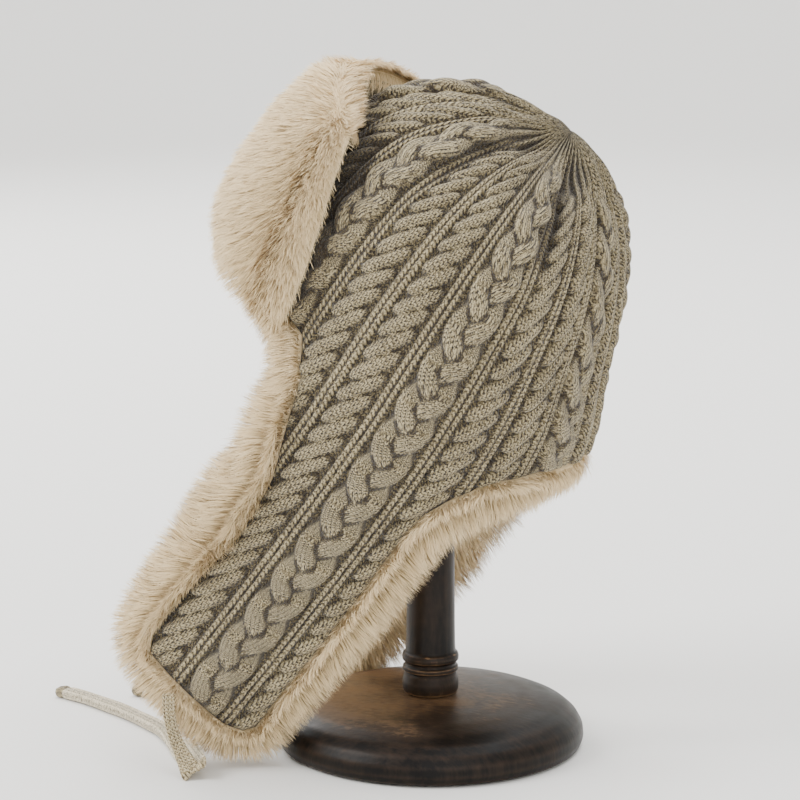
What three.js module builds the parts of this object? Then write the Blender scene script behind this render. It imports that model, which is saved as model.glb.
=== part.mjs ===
// Cable-knit trapper hat with plush lining, on a turned wooden hat stand.
// Units are millimetres, +Z is up, the origin is the centre of the stand's underside.
// The front of the hat faces -Y and the wearer's left ear flap is on +X.
import * as THREE from "three";

const DEG = Math.PI / 180;

// The hat has its own frame: y forward is negative, z runs up through the gathered crown.
// It is tipped back on the stand and its gathered pole sits here.
const TILT_BACK = 33 * DEG;
const POLE = { x: 0, y: 77, z: 350 };

// Rings of the cloth from the gathered pole to the flap ends.
// drop is the depth under the pole, r the distance from the hat's axis, lean moves the ring forward.
const RINGS = [
  { frontDrop: 2, frontR: 0, sideDrop: 2, sideR: 0, backDrop: 2, backR: 0, lean: 0 },
  { frontDrop: -4, frontR: 22, sideDrop: 4, sideR: 20, backDrop: 9, backR: 24, lean: 0 },
  { frontDrop: 4, frontR: 55, sideDrop: 14, sideR: 45, backDrop: 24, backR: 49, lean: 0 },
  { frontDrop: 27, frontR: 88, sideDrop: 33, sideR: 68, backDrop: 45, backR: 68, lean: 0 },
  { frontDrop: 55, frontR: 104, sideDrop: 58, sideR: 83, backDrop: 72, backR: 82, lean: 0 },
  { frontDrop: 90, frontR: 111, sideDrop: 92, sideR: 91, backDrop: 105, backR: 94, lean: 0 },
  { frontDrop: 130, frontR: 112, sideDrop: 132, sideR: 94, backDrop: 137, backR: 104, lean: 0 },
  { frontDrop: 175, frontR: 110, sideDrop: 178, sideR: 95, backDrop: 175, backR: 108, lean: 0 },
  { frontDrop: 235, frontR: 108, sideDrop: 235, sideR: 95, backDrop: 235, backR: 108, lean: 3 },
  { frontDrop: 305, frontR: 106, sideDrop: 305, sideR: 95, backDrop: 305, backR: 106, lean: 8 },
  { frontDrop: 390, frontR: 104, sideDrop: 390, sideR: 93, backDrop: 390, backR: 102, lean: 15 },
];
const RING_KEYS = Object.keys(RINGS[0]);

// Seven repeats of the knit run round the hat; each is a plait, then two ropes with ridges between.
const REPEATS = 7;
const REPEAT_ANGLE = 360 / REPEATS;
const PLAIT_START = 47.2;
const SIDE_STRETCH = 2.98;
const FOLD_SHARE = 0.34;
const FOLD_DEPTHS = [5, 6, 4, 7, 9, 5, 5];
const FOLD_WIDTH = 5;
// A fold turns by this angle on its way out of the pole, and a low lip runs beside it.
const FOLD_TURN = 9;
const FOLD_LIP = { height: 1.2, away: 9, width: 6 };

// Wales across one repeat: share of the repeat's width and height of the wale over the cloth.
const WALES = [
  { share: 0.0, height: -2.0, kind: "groove" },
  { share: 0.07, height: 0.9, kind: "plait", phase: 0 },
  { share: 0.145, height: 1.5, kind: "plait", phase: 1 },
  { share: 0.22, height: 0.9, kind: "plait", phase: 2 },
  { share: 0.29, height: -2.0, kind: "groove" },
  { share: 0.34, height: 0.0, kind: "ridge" },
  { share: 0.39, height: -2.0, kind: "groove" },
  { share: 0.4925, height: 1.2, kind: "rope" },
  { share: 0.595, height: -2.0, kind: "groove" },
  { share: 0.645, height: 0.0, kind: "ridge" },
  { share: 0.695, height: -2.0, kind: "groove" },
  { share: 0.7975, height: 1.2, kind: "rope" },
  { share: 0.9, height: -2.0, kind: "groove" },
  { share: 0.95, height: 0.0, kind: "ridge" },
];

// Hem of the knit: ring coordinate where the cloth ends, at angles from the front.
const BROW_AND_NAPE = [
  { angle: 0, ring: 6.45 },
  { angle: 45, ring: 6.42 },
  { angle: 60.8, ring: 6.5 },
  { angle: 66.8, ring: 6.83 },
  { angle: 137, ring: 6.97 },
  { angle: 140, ring: 6.8 },
  { angle: 150, ring: 6.6 },
  { angle: 160, ring: 6.36 },
  { angle: 180, ring: 6.26 },
];
const FLAP_FRONT = 67;
const FLAP_BACK = 137;

// Front and back edges of an ear flap on the way down to its end.
const FLAP_EDGES = [
  { down: 0.0, front: 67, back: 137 },
  { down: 0.06, front: 69.5, back: 133 },
  { down: 0.16, front: 72.5, back: 128.6 },
  { down: 0.26, front: 75.8, back: 127.2 },
  { down: 0.4, front: 81, back: 127.6 },
  { down: 0.52, front: 82.8, back: 128 },
  { down: 0.65, front: 83.8, back: 128 },
  { down: 0.77, front: 82, back: 128.4 },
  { down: 0.9, front: 80.5, back: 128.2 },
  { down: 1.0, front: 80.5, back: 129 },
];
const FLAP_END = [
  { across: 0, ring: 9.42 },
  { across: 0.07, ring: 9.52 },
  { across: 0.4, ring: 9.58 },
  { across: 0.8, ring: 9.65 },
  { across: 0.94, ring: 9.64 },
  { across: 1, ring: 9.58 },
];

// Offsets from the middle of the knit's relief, inwards negative.
const KNIT_INSIDE = -4.6;
const LINING_OUTSIDE = -4.95;
const CROWN_LINING = 7;
const FLAP_LINING = 11;

// Reach of the plush roll past the knit's hem. Places run round the hem: 0 is the middle of the
// nape, 1 to 2 a flap's back edge, 2 to 3 its end, 3 to 4 its front edge and 4.5 the brow; the
// other half runs back to 9, so a whole loop has nine stretches.
const LOOP_STRETCHES = 9;
const ROLL = [
  { at: 0, reach: 12, swell: 4 },
  { at: 1, reach: 14, swell: 5 },
  { at: 1.6, reach: 15, swell: 5 },
  { at: 2, reach: 18, swell: 4 },
  { at: 2.9, reach: 18, swell: 3.5 },
  { at: 3.05, reach: 25, swell: 4.5 },
  { at: 3.25, reach: 30, swell: 7 },
  { at: 3.45, reach: 37, swell: 8 },
  { at: 3.67, reach: 23, swell: 6 },
  { at: 4, reach: 12, swell: 1 },
  { at: 4.5, reach: 11, swell: -2 },
];

const mix = (a, b, f) => a + (b - a) * f;
const clamp = (x, lo, hi) => Math.min(hi, Math.max(lo, x));

function smooth(lo, hi, x) {
  const f = clamp((x - lo) / (hi - lo), 0, 1);
  return f * f * (3 - 2 * f);
}

function lookUp(table, key, value, x) {
  if (x <= table[0][key]) return table[0][value];
  for (let i = 1; i < table.length; i += 1) {
    if (x <= table[i][key]) {
      const f = (x - table[i - 1][key]) / (table[i][key] - table[i - 1][key]);
      return mix(table[i - 1][value], table[i][value], f);
    }
  }
  return table[table.length - 1][value];
}

// Catmull-Rom value of one column of the ring table at ring coordinate v.
function ringValue(key, v) {
  const last = RINGS.length - 1;
  const i = clamp(Math.floor(v), 0, last - 1);
  const f = v - i;
  const p0 = RINGS[Math.max(i - 1, 0)][key];
  const p1 = RINGS[i][key];
  const p2 = RINGS[i + 1][key];
  const p3 = RINGS[Math.min(i + 2, last)][key];
  return 0.5 * (2 * p1 + (p2 - p0) * f + (2 * p0 - 5 * p1 + 4 * p2 - p3) * f * f
    + (3 * p1 - p0 - 3 * p2 + p3) * f * f * f);
}

// Wale coordinate in degrees: equal steps of it are equal widths of knit.
const waleAngle = (angle) => angle + SIDE_STRETCH * Math.sin(2 * angle * DEG);

function angleOfWale(wale) {
  let angle = wale;
  for (let i = 0; i < 6; i += 1) angle = wale - SIDE_STRETCH * Math.sin(2 * angle * DEG);
  return angle;
}

// Depth of the folds that run from the gathered pole, one behind each plait.
function foldDepth(angle, v, radius) {
  const window = smooth(0.5, 1.4, v) * (1 - smooth(2.9, 4.3, v));
  if (window <= 0) return 0;
  let depth = 0;
  for (let k = 0; k < REPEATS; k += 1) {
    const centre = PLAIT_START + (k - 3) * REPEAT_ANGLE + FOLD_SHARE * REPEAT_ANGLE
      + FOLD_TURN * (1 - smooth(0.6, 2.4, v));
    let away = waleAngle(angle) - centre;
    away -= 360 * Math.round(away / 360);
    const across = away * DEG * radius;
    const width = across > 0 ? FOLD_WIDTH * 1.5 : FOLD_WIDTH;
    depth += FOLD_DEPTHS[k] * Math.exp(-((across / width) ** 2));
    depth -= FOLD_LIP.height * Math.exp(-(((across + FOLD_LIP.away) / FOLD_LIP.width) ** 2));
  }
  return depth * window;
}

// Middle of the knitted cloth in the hat's own frame. A fold sinks the top of the crown and
// draws in its sides.
function clothPoint(angle, v) {
  const c = Math.cos(angle * DEG);
  const s = Math.sin(angle * DEG);
  const front = Math.max(c, 0) ** 2;
  const back = Math.max(-c, 0) ** 2;
  const side = s * s;
  const part = (name) => front * ringValue(`front${name}`, v) + side * ringValue(`side${name}`, v)
    + back * ringValue(`back${name}`, v);
  const r = part("R");
  const fold = foldDepth(angle, v, r);
  const lift = smooth(5, 1, v);
  return new THREE.Vector3(
    (r - fold * (1 - lift)) * s,
    -(r - fold * (1 - lift)) * c - ringValue("lean", v),
    -part("Drop") - fold * lift,
  );
}

// Outward unit normal of the cloth without its folds' small turns.
function clothNormal(angle, v) {
  const w = Math.max(v, 0.35);
  const across = clothPoint(angle + 3, w).sub(clothPoint(angle - 3, w));
  const down = clothPoint(angle, w + 0.15).sub(clothPoint(angle, w - 0.15));
  const n = down.cross(across).normalize();
  const up = new THREE.Vector3(0, -0.25, 1).normalize();
  return n.lerp(up, 1 - smooth(0.1, 1.2, v)).normalize();
}

// From the hat's frame to the stand's frame.
function onStand(p) {
  const c = Math.cos(TILT_BACK);
  const s = Math.sin(TILT_BACK);
  return new THREE.Vector3(p.x + POLE.x, p.y * c + p.z * s + POLE.y, -p.y * s + p.z * c + POLE.z);
}

const offsetPoint = (angle, v, out) => clothPoint(angle, v).addScaledVector(clothNormal(angle, v), out);

// Height of the knit over its cloth for a wale, a row and the ring coordinate.
function waleHeight(wale, row, v) {
  const fade = smooth(0.7, 2.2, v);
  let h = wale.height;
  if (wale.kind === "plait") h += 0.9 * Math.cos((row / 3 - wale.phase / 3) * 2 * Math.PI);
  if (wale.kind === "rope") h += row % 2 ? 0.55 : -0.55;
  return h * mix(0.35, 1, fade);
}

const makeBody = () => ({ points: [], faces: [] });

function addPoint(body, p) {
  body.points.push(onStand(p));
  return body.points.length - 1;
}

function addQuad(body, a, b, c, d, flip) {
  if (flip) body.faces.push([a, c, b], [a, d, c]);
  else body.faces.push([a, b, c], [a, c, d]);
}

// A T-shaped sheet: a crown fan from the pole to the hem and two flap grids hung on it.
// at(column, angle, v, row) gives the point; the open edge comes back as a loop.
// Fine sheets have step 2: their odd columns and rows lie on the edge between the even ones,
// so fine and coarse sheets share one hem.
const FLAP_ROWS = 6;

function addSheet(body, columns, step, crownRows, inward, at) {
  const n = columns.length;
  const flapRows = FLAP_ROWS * step;
  const nearest = (angle) => columns.reduce((best, col, i) => (
    i % step === 0 && Math.abs(col.angle - angle) < Math.abs(columns[best].angle - angle) ? i : best), 0);
  const shared = (i, value) => {
    if (i % step === 0 || i + 1 >= n) return value(i);
    const low = columns[i - 1].angle;
    const high = columns[i + 1].angle;
    return mix(value(i - 1), value(i + 1), (columns[i].angle - low) / (high - low));
  };
  const hemRing = (i) => lookUp(BROW_AND_NAPE, "angle", "ring", Math.abs(columns[i].angle));
  const pole = addPoint(body, at(0, columns[0].angle, 0, 0));
  const crown = [columns.map(() => pole)];
  for (let j = 1; j <= crownRows; j += 1) {
    const f = mix(j / crownRows, (j / crownRows) ** 0.75, 0.5);
    crown.push(columns.map((col, i) => addPoint(body, at(i, col.angle, shared(i, hemRing) * f, j))));
    for (let i = 0; i < n; i += 1) {
      const k = (i + 1) % n;
      if (j === 1) body.faces.push(inward ? [pole, crown[1][k], crown[1][i]] : [pole, crown[1][i], crown[1][k]]);
      else addQuad(body, crown[j - 1][i], crown[j][i], crown[j][k], crown[j - 1][k], inward);
    }
  }
  const hem = crown[crownRows];
  const flaps = [-1, 1].map((sideSign) => {
    const first = nearest(sideSign < 0 ? -FLAP_BACK : FLAP_FRONT);
    const last = nearest(sideSign < 0 ? -FLAP_FRONT : FLAP_BACK);
    const low = columns[first].angle;
    const high = columns[last].angle;
    const near = sideSign < 0 ? -high : low;
    const far = sideSign < 0 ? -low : high;
    const acrossOf = (i) => {
      const f = (columns[i].angle - low) / (high - low);
      return sideSign < 0 ? 1 - f : f;
    };
    const edgeAt = (key, start, rest, row) => {
      const down = row / FLAP_ROWS;
      return lookUp(FLAP_EDGES, "down", key, down) + (start - rest) * (1 - smooth(0, 0.2, down));
    };
    const edge = (key, start, rest, k) => {
      const row = k / step;
      const whole = Math.floor(row);
      const next = Math.min(whole + 1, FLAP_ROWS);
      return mix(edgeAt(key, start, rest, whole), edgeAt(key, start, rest, next), row - whole);
    };
    const rows = [hem.slice(first, last + 1)];
    for (let k = 1; k <= flapRows; k += 1) {
      const frontEdge = edge("front", near, FLAP_FRONT, k);
      const backEdge = edge("back", far, FLAP_BACK, k);
      rows.push(columns.slice(first, last + 1).map((col, local) => {
        const i = first + local;
        const end = shared(i, (c) => lookUp(FLAP_END, "across", "ring", acrossOf(c)));
        const angle = sideSign * mix(frontEdge, backEdge, acrossOf(i));
        return addPoint(body, at(i, angle, mix(shared(i, hemRing), end, k / flapRows), crownRows + k));
      }));
      const above = rows[k - 1];
      const below = rows[k];
      for (let i = 0; i + 1 < above.length; i += 1) {
        addQuad(body, above[i], below[i], below[i + 1], above[i + 1], inward);
      }
    }
    return { first, last, rows };
  });
  return edgeLoop(hem, flaps, flapRows);
}

// Runs round the open edge of a sheet; each point carries its place along the stretches.
function edgeLoop(hem, flaps, flapRows) {
  const loop = [];
  const run = (start, list) => list.forEach((id, i) => {
    if (i < list.length - 1) loop.push({ id, place: start + i / (list.length - 1) });
  });
  const [far, near] = flaps;
  const edge = (flap, i) => flap.rows.map((row) => row[i]);
  run(0, hem.slice(0, far.first + 1));
  run(1, edge(far, 0));
  run(2, far.rows[flapRows]);
  run(3, edge(far, far.last - far.first).reverse());
  run(4, hem.slice(far.last, near.first + 1));
  run(5, edge(near, 0));
  run(6, near.rows[flapRows]);
  run(7, edge(near, near.last - near.first).reverse());
  run(8, [...hem.slice(near.last), hem[0]]);
  return loop;
}

// Joins two edge loops with a band of triangles, stepping along whichever is behind.
function zipLoops(body, outer, inner) {
  let i = 0;
  let j = 0;
  const placeOf = (loop, k) => loop[k % loop.length].place + (k >= loop.length ? LOOP_STRETCHES : 0);
  while (i < outer.length || j < inner.length) {
    const a = outer[i % outer.length].id;
    const b = inner[j % inner.length].id;
    const nextOuter = placeOf(outer, i + 1);
    const nextInner = placeOf(inner, j + 1);
    if (j >= inner.length || (i < outer.length && nextOuter <= nextInner)) {
      body.faces.push([a, b, outer[(i + 1) % outer.length].id]);
      i += 1;
    } else {
      body.faces.push([a, b, inner[(j + 1) % inner.length].id]);
      j += 1;
    }
  }
}

function toMesh(name, body, color, roughness) {
  const geometry = new THREE.BufferGeometry();
  const positions = body.points.flatMap((p) => [p.x, p.y, p.z]);
  geometry.setAttribute("position", new THREE.Float32BufferAttribute(positions, 3));
  geometry.setIndex(body.faces.flat());
  geometry.computeVertexNormals();
  const mesh = new THREE.Mesh(geometry, new THREE.MeshStandardMaterial({ color, roughness, metalness: 0 }));
  mesh.name = name;
  return mesh;
}

// Columns of the knit follow its wales all the way round, sorted from the back by the far side.
function knitColumns() {
  const columns = [];
  for (let k = 0; k < REPEATS; k += 1) {
    for (const wale of WALES) {
      let u = PLAIT_START + (k - 3 + wale.share) * REPEAT_ANGLE;
      u -= 360 * Math.round(u / 360);
      columns.push({ angle: angleOfWale(u), wale });
    }
  }
  return columns.sort((a, b) => a.angle - b.angle);
}

function makeKnitShell() {
  const body = makeBody();
  const columns = knitColumns();
  const outer = addSheet(body, columns, 2, 17, false, (i, angle, v, row) => (
    offsetPoint(angle, v, waleHeight(columns[i].wale, row, v))));
  const every = columns.filter((_, i) => i % 2 === 0);
  const inner = addSheet(body, every, 1, 8, true, (i, angle, v) => offsetPoint(angle, v, KNIT_INSIDE));
  zipLoops(body, outer, inner);
  return toMesh("knit_shell", body, 0xa79e88, 0.95);
}

// Plush lining: two sheets inside the knit, joined past the hem by a roll with locks.
function makeFurLining() {
  const body = makeBody();
  const columns = knitColumns().filter((_, i) => i % 2 === 0);
  const lining = (v) => LINING_OUTSIDE - mix(CROWN_LINING, FLAP_LINING, smooth(6, 8, v))
    * mix(0.8, 1, smooth(0, 2, v));
  const places = [];
  const remember = (angle, v, out) => {
    places.push({ p: clothPoint(angle, v), n: clothNormal(angle, v) });
    return offsetPoint(angle, v, out);
  };
  const outer = addSheet(body, columns, 1, 8, false, (i, angle, v) => remember(angle, v, LINING_OUTSIDE));
  const count = body.points.length;
  const inner = addSheet(body, columns, 1, 8, true, (i, angle, v) => offsetPoint(angle, v, lining(v)));
  const size = outer.length;
  const rings = outer.map((point, i) => {
    const here = places[point.id];
    const before = places[outer[(i + size - 1) % size].id].p;
    const after = places[outer[(i + 1) % size].id].p;
    const out = new THREE.Vector3().subVectors(after, before).cross(here.n).normalize();
    const mirror = Math.min(point.place, LOOP_STRETCHES - point.place);
    const lock = 1 + (i % 2 ? 0.07 : -0.07) + 0.05 * Math.sin(i * 2.4);
    const reach = lookUp(ROLL, "at", "reach", mirror) * lock;
    const swell = lookUp(ROLL, "at", "swell", mirror) + (i % 2 ? 0.8 : -0.4);
    const section = [
      { reach: 0.8, out: -4.6 },
      { reach: 1.1, out: Math.min(swell * 0.5, 2) },
      { reach: reach * 0.34, out: swell },
      { reach: reach * 0.78, out: swell * 0.7 - 1 },
      { reach, out: -5 },
      { reach: reach * 0.72, out: -14 },
    ];
    return section.map((s) => addPoint(body, here.p.clone().addScaledVector(out, s.reach)
      .addScaledVector(here.n, s.out)));
  });
  for (let i = 0; i < size; i += 1) {
    const k = (i + 1) % size;
    const a = [outer[i].id, ...rings[i], outer[i].id + count];
    const b = [outer[k].id, ...rings[k], outer[k].id + count];
    for (let s = 0; s + 1 < a.length; s += 1) addQuad(body, a[s], a[s + 1], b[s + 1], b[s], false);
  }
  return toMesh("fur_lining", body, 0xd8c7ae, 1);
}

// The visor stands up against the brow; lift is its distance from the cloth behind it.
const VISOR = { lowRing: 6.5, highRing: 3.72, lowAngle: 55, highAngle: 37, backing: 3 };
const VISOR_PLUSH = [
  { high: 0, out: 20 },
  { high: 0.15, out: 29 },
  { high: 0.4, out: 34 },
  { high: 0.65, out: 36 },
  { high: 0.88, out: 34 },
  { high: 1, out: 27 },
];
const visorLift = (high) => 2.6 + 9 * high ** 1.3;

function visorPlace(across, high, spare) {
  const angle = across * (mix(VISOR.lowAngle, VISOR.highAngle, high ** 1.6) + spare);
  const corner = 0.35 * Math.abs(across) ** 4;
  const rise = spare / 60;
  return { angle, v: mix(VISOR.lowRing + rise * 2, VISOR.highRing - rise * 2 + corner, high) };
}

// A pillow of two grids that share their border.
function makePillow(name, color, across, up, place, backAt, frontAt) {
  const body = makeBody();
  const ids = [[], []];
  for (let j = 0; j <= up; j += 1) {
    for (let i = 0; i <= across; i += 1) {
      const s = (2 * i) / across - 1;
      const h = j / up;
      const at = place(s, h);
      const border = i === 0 || j === 0 || i === across || j === up;
      const back = backAt(s, h);
      const key = j * (across + 1) + i;
      ids[0][key] = addPoint(body, offsetPoint(at.angle, at.v, border ? (back + frontAt(s, h, i, j)) / 2 : back));
      ids[1][key] = border ? ids[0][key] : addPoint(body, offsetPoint(at.angle, at.v, frontAt(s, h, i, j)));
    }
  }
  for (let j = 0; j < up; j += 1) {
    for (let i = 0; i < across; i += 1) {
      const a = j * (across + 1) + i;
      const corners = [a, a + across + 1, a + across + 2, a + 1];
      const back = corners.map((c) => ids[0][c]);
      const front = corners.map((c) => ids[1][c]);
      addQuad(body, ...back, false);
      addQuad(body, ...front, true);
    }
  }
  return toMesh(name, body, color, 1);
}

function makeVisorBacking() {
  const back = (s, h) => visorLift(h) - 0.6 * s * s;
  return makePillow("visor_backing", 0xa1977f, 16, 5, (s, h) => visorPlace(s, h, 0), back,
    (s, h) => back(s, h) + VISOR.backing);
}

function makeFurVisor() {
  const back = (s, h) => visorLift(h) + VISOR.backing + 0.9;
  const front = (s, h, i, j) => {
    const edge = Math.abs(s);
    const valley = 6 * Math.exp(-(((edge - 0.66) / 0.09) ** 2));
    const round = Math.sqrt(Math.max(0, 1 - edge ** 6));
    const lock = (i + j) % 2 ? 0.8 : -0.8;
    const full = lookUp(VISOR_PLUSH, "high", "out", h) - valley + lock;
    return mix(back(s, h) + 4, full, round);
  };
  return makePillow("fur_visor", 0xdccbb2, 22, 8, (s, h) => visorPlace(s, h, 4), back, front);
}

// Ribbed knitted ties: points of the centre line, each with the direction of the strip's width and
// its size there as width and thickness. A tie hangs narrow, lies wide at its fold and curls up
// thick towards its end.
const TIE_STEPS = 34;
const LEFT_TIE = [
  { x: 98.2, y: -120.5, z: 45, wide: [-0.1, 0.97, -0.15], size: [9, 2.8] },
  { x: 100.8, y: -119.5, z: 36, wide: [-0.2, 0.97, -0.1], size: [8.6, 2.8] },
  { x: 101.8, y: -117, z: 25, wide: [-0.3, 0.95, 0], size: [8.6, 2.8] },
  { x: 102.4, y: -112.5, z: 15, wide: [-0.4, 0.92, 0], size: [10.5, 2.6] },
  { x: 106, y: -106.5, z: 8, wide: [-0.5, 0.85, 0.1], size: [12.5, 2.4] },
  { x: 107.5, y: -103, z: 4.9, wide: [-0.5, 0.78, 0.35], size: [12.5, 2.4] },
  { x: 104, y: -103.2, z: 5.2, wide: [-0.4, 0.62, 0.6], size: [12.5, 2.4] },
  { x: 95, y: -108.4, z: 6.2, wide: [-0.33, 0.53, 0.78], size: [13, 2.4] },
  { x: 82, y: -117, z: 6.2, wide: [-0.33, 0.53, 0.78], size: [13, 2.4] },
  { x: 71, y: -124.7, z: 5, wide: [-0.36, 0.6, 0.6], size: [10.5, 3.4] },
  { x: 62, y: -131, z: 3.6, wide: [-0.48, 0.72, 0.4], size: [8.5, 4.6] },
  { x: 49, y: -140.5, z: 3.4, wide: [-0.6, 0.78, 0], size: [9, 6] },
  { x: 36, y: -151, z: 3.4, wide: [-0.7, 0.7, 0], size: [9, 6.2] },
  { x: 20, y: -171, z: 3.4, wide: [-0.82, 0.57, 0], size: [9, 6.2] },
  { x: 10, y: -185, z: 3.4, wide: [-0.84, 0.53, 0], size: [9, 6.2] },
  { x: 1, y: -200, z: 3.4, wide: [-0.86, 0.5, 0], size: [9, 6.2] },
  { x: -10, y: -220, z: 3.4, wide: [-0.9, 0.4, 0], size: [9, 6.2] },
  { x: -18, y: -240, z: 3.4, wide: [-0.92, 0.35, 0], size: [9, 6.2] },
];
const RIGHT_TIE = [
  { x: -98.2, y: -120.5, z: 45, wide: [0.1, 0.97, -0.15], size: [9, 2.8] },
  { x: -100.8, y: -119.5, z: 36, wide: [0.2, 0.97, -0.1], size: [8.6, 2.8] },
  { x: -101.6, y: -117.5, z: 25, wide: [0.3, 0.95, 0], size: [8.6, 2.8] },
  { x: -101.2, y: -116, z: 14, wide: [0.3, 0.95, 0], size: [10.5, 2.6] },
  { x: -101.5, y: -116, z: 6, wide: [0.1, 0.99, 0], size: [12, 2.4] },
  { x: -105, y: -119.5, z: 2, wide: [-0.3, 0.95, 0], size: [12, 2.4] },
  { x: -114, y: -126, z: 1.8, wide: [-0.65, 0.75, 0], size: [12, 2.4] },
  { x: -120, y: -142, z: 1.8, wide: [-1, -0.05, 0], size: [12, 2.4] },
  { x: -107, y: -156, z: 1.8, wide: [-0.35, -0.93, 0], size: [12, 2.4] },
  { x: -91, y: -151, z: 1.8, wide: [0.6, -0.8, 0], size: [12, 2.4] },
  { x: -83, y: -135, z: 2, wide: [0.85, -0.5, 0], size: [11, 3] },
  { x: -74, y: -120, z: 2.6, wide: [0.6, -0.8, 0], size: [10, 4] },
  { x: -60, y: -116, z: 3.2, wide: [-0.2, -0.97, 0], size: [9, 5.4] },
  { x: -46, y: -126, z: 3.4, wide: [-0.85, -0.5, 0], size: [9, 6.2] },
  { x: -37, y: -148, z: 3.4, wide: [-0.96, -0.25, 0], size: [9, 6.2] },
  { x: -33, y: -174, z: 3.4, wide: [-1, -0.08, 0], size: [9, 6.2] },
  { x: -33.5, y: -198, z: 3.4, wide: [-1, 0.04, 0], size: [9, 6.2] },
];
// Corners of a strip's section in halves of its width and thickness.
const TIE_SECTION = [[1, 0.45], [0.8, 1], [-0.8, 1], [-1, 0.45], [-1, -0.45], [-0.8, -1], [0.8, -1], [1, -0.45]];

function makeTie(name, places) {
  const body = makeBody();
  const route = new THREE.CatmullRomCurve3(places.map((p) => new THREE.Vector3(p.x, p.y, p.z)));
  const rings = [];
  for (let i = 0; i <= TIE_STEPS; i += 1) {
    const t = i / TIE_STEPS;
    const p = route.getPoint(t);
    const along = route.getTangent(t);
    const k = Math.min(Math.floor(t * (places.length - 1)), places.length - 2);
    const f = t * (places.length - 1) - k;
    const wide = new THREE.Vector3(...places[k].wide).lerp(new THREE.Vector3(...places[k + 1].wide), f);
    wide.addScaledVector(along, -wide.dot(along)).normalize();
    const thick = new THREE.Vector3().crossVectors(along, wide);
    const [halfWidth, halfThick] = [0, 1].map((n) => mix(places[k].size[n], places[k + 1].size[n], f) / 2);
    rings.push(TIE_SECTION.map(([w, h]) => {
      body.points.push(p.clone().addScaledVector(wide, w * halfWidth).addScaledVector(thick, h * halfThick));
      return body.points.length - 1;
    }));
  }
  const corners = TIE_SECTION.length;
  for (let i = 0; i < TIE_STEPS; i += 1) {
    for (let c = 0; c < corners; c += 1) {
      const d = (c + 1) % corners;
      addQuad(body, rings[i][c], rings[i][d], rings[i + 1][d], rings[i + 1][c], false);
    }
  }
  for (let c = 1; c + 1 < corners; c += 1) {
    body.faces.push([rings[0][0], rings[0][c + 1], rings[0][c]]);
    body.faces.push([rings[TIE_STEPS][0], rings[TIE_STEPS][c], rings[TIE_STEPS][c + 1]]);
  }
  return toMesh(name, body, 0xd9cfbb, 0.95);
}

// Turned parts of the stand as radius and height pairs, bottom to top.
const HEAD_LOW = 335.4;
const BASE_PROFILE = [
  [0, 0], [82, 0], [86, 1.8], [87.5, 6], [87, 11.5], [84, 17], [78.5, 21.6], [70, 25.2], [58, 27.6],
  [44, 28.8], [26, 29.4], [19, 29.6], [0, 29.6],
];
const POST_PROFILE = [
  [0, 29.9], [15, 29.9], [16, 33], [16, 37], [15.2, 41], [14.2, 42.6], [15.8, 43.4], [15.8, 45.6],
  [14.6, 46.6], [14.6, 48.2], [16, 49.4], [16.2, 51.4], [15.6, 53.4], [14, 54.6], [13.4, 120],
  [13, HEAD_LOW - 0.3], [0, HEAD_LOW - 0.3],
];
const HEAD_PROFILE = [
  [0, 0], [26, 0], [36, 5.3], [38, 8.3], [36, 11.5], [28, 16.3], [17, 19.9], [0, 21.7],
].map(([r, z]) => [r, z + HEAD_LOW]);

function makeTurned(name, profile, sides, color, roughness) {
  const points = profile.map(([r, z]) => new THREE.Vector2(r, z));
  const body = makeBody();
  const rings = points.map((p) => {
    if (p.x === 0) {
      body.points.push(new THREE.Vector3(0, 0, p.y));
      return [body.points.length - 1];
    }
    return Array.from({ length: sides }, (_, i) => {
      const turn = (i / sides) * 2 * Math.PI;
      body.points.push(new THREE.Vector3(p.x * Math.cos(turn), p.x * Math.sin(turn), p.y));
      return body.points.length - 1;
    });
  });
  for (let j = 0; j + 1 < rings.length; j += 1) {
    const low = rings[j];
    const high = rings[j + 1];
    for (let i = 0; i < sides; i += 1) {
      const k = (i + 1) % sides;
      if (low.length === 1) body.faces.push([low[0], high[k], high[i]]);
      else if (high.length === 1) body.faces.push([low[i], low[k], high[0]]);
      else addQuad(body, low[i], low[k], high[k], high[i], false);
    }
  }
  return toMesh(name, body, color, roughness);
}

const group = new THREE.Group();
group.name = "trapper_hat_on_stand";
group.add(
  makeTurned("stand_base", BASE_PROFILE, 28, 0x2e2520, 0.45),
  makeTurned("stand_post", POST_PROFILE, 16, 0x34291f, 0.45),
  makeTurned("stand_head", HEAD_PROFILE, 20, 0x34291f, 0.5),
  makeKnitShell(),
  makeFurLining(),
  makeVisorBacking(),
  makeFurVisor(),
  makeTie("tie_left", LEFT_TIE),
  makeTie("tie_right", RIGHT_TIE),
);
group.updateMatrixWorld(true);

export default group;
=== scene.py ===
"""Cable-knit trapper hat with a plush visor and lining, on a turned wooden hat stand.

Blender dresses the fixed frame: lengths in the tables are millimetres, meshes are metres, +Z is up.
The front of the hat faces -Y and the wearer's left ear flap is on +X.
"""
import math
from functools import partial

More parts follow.
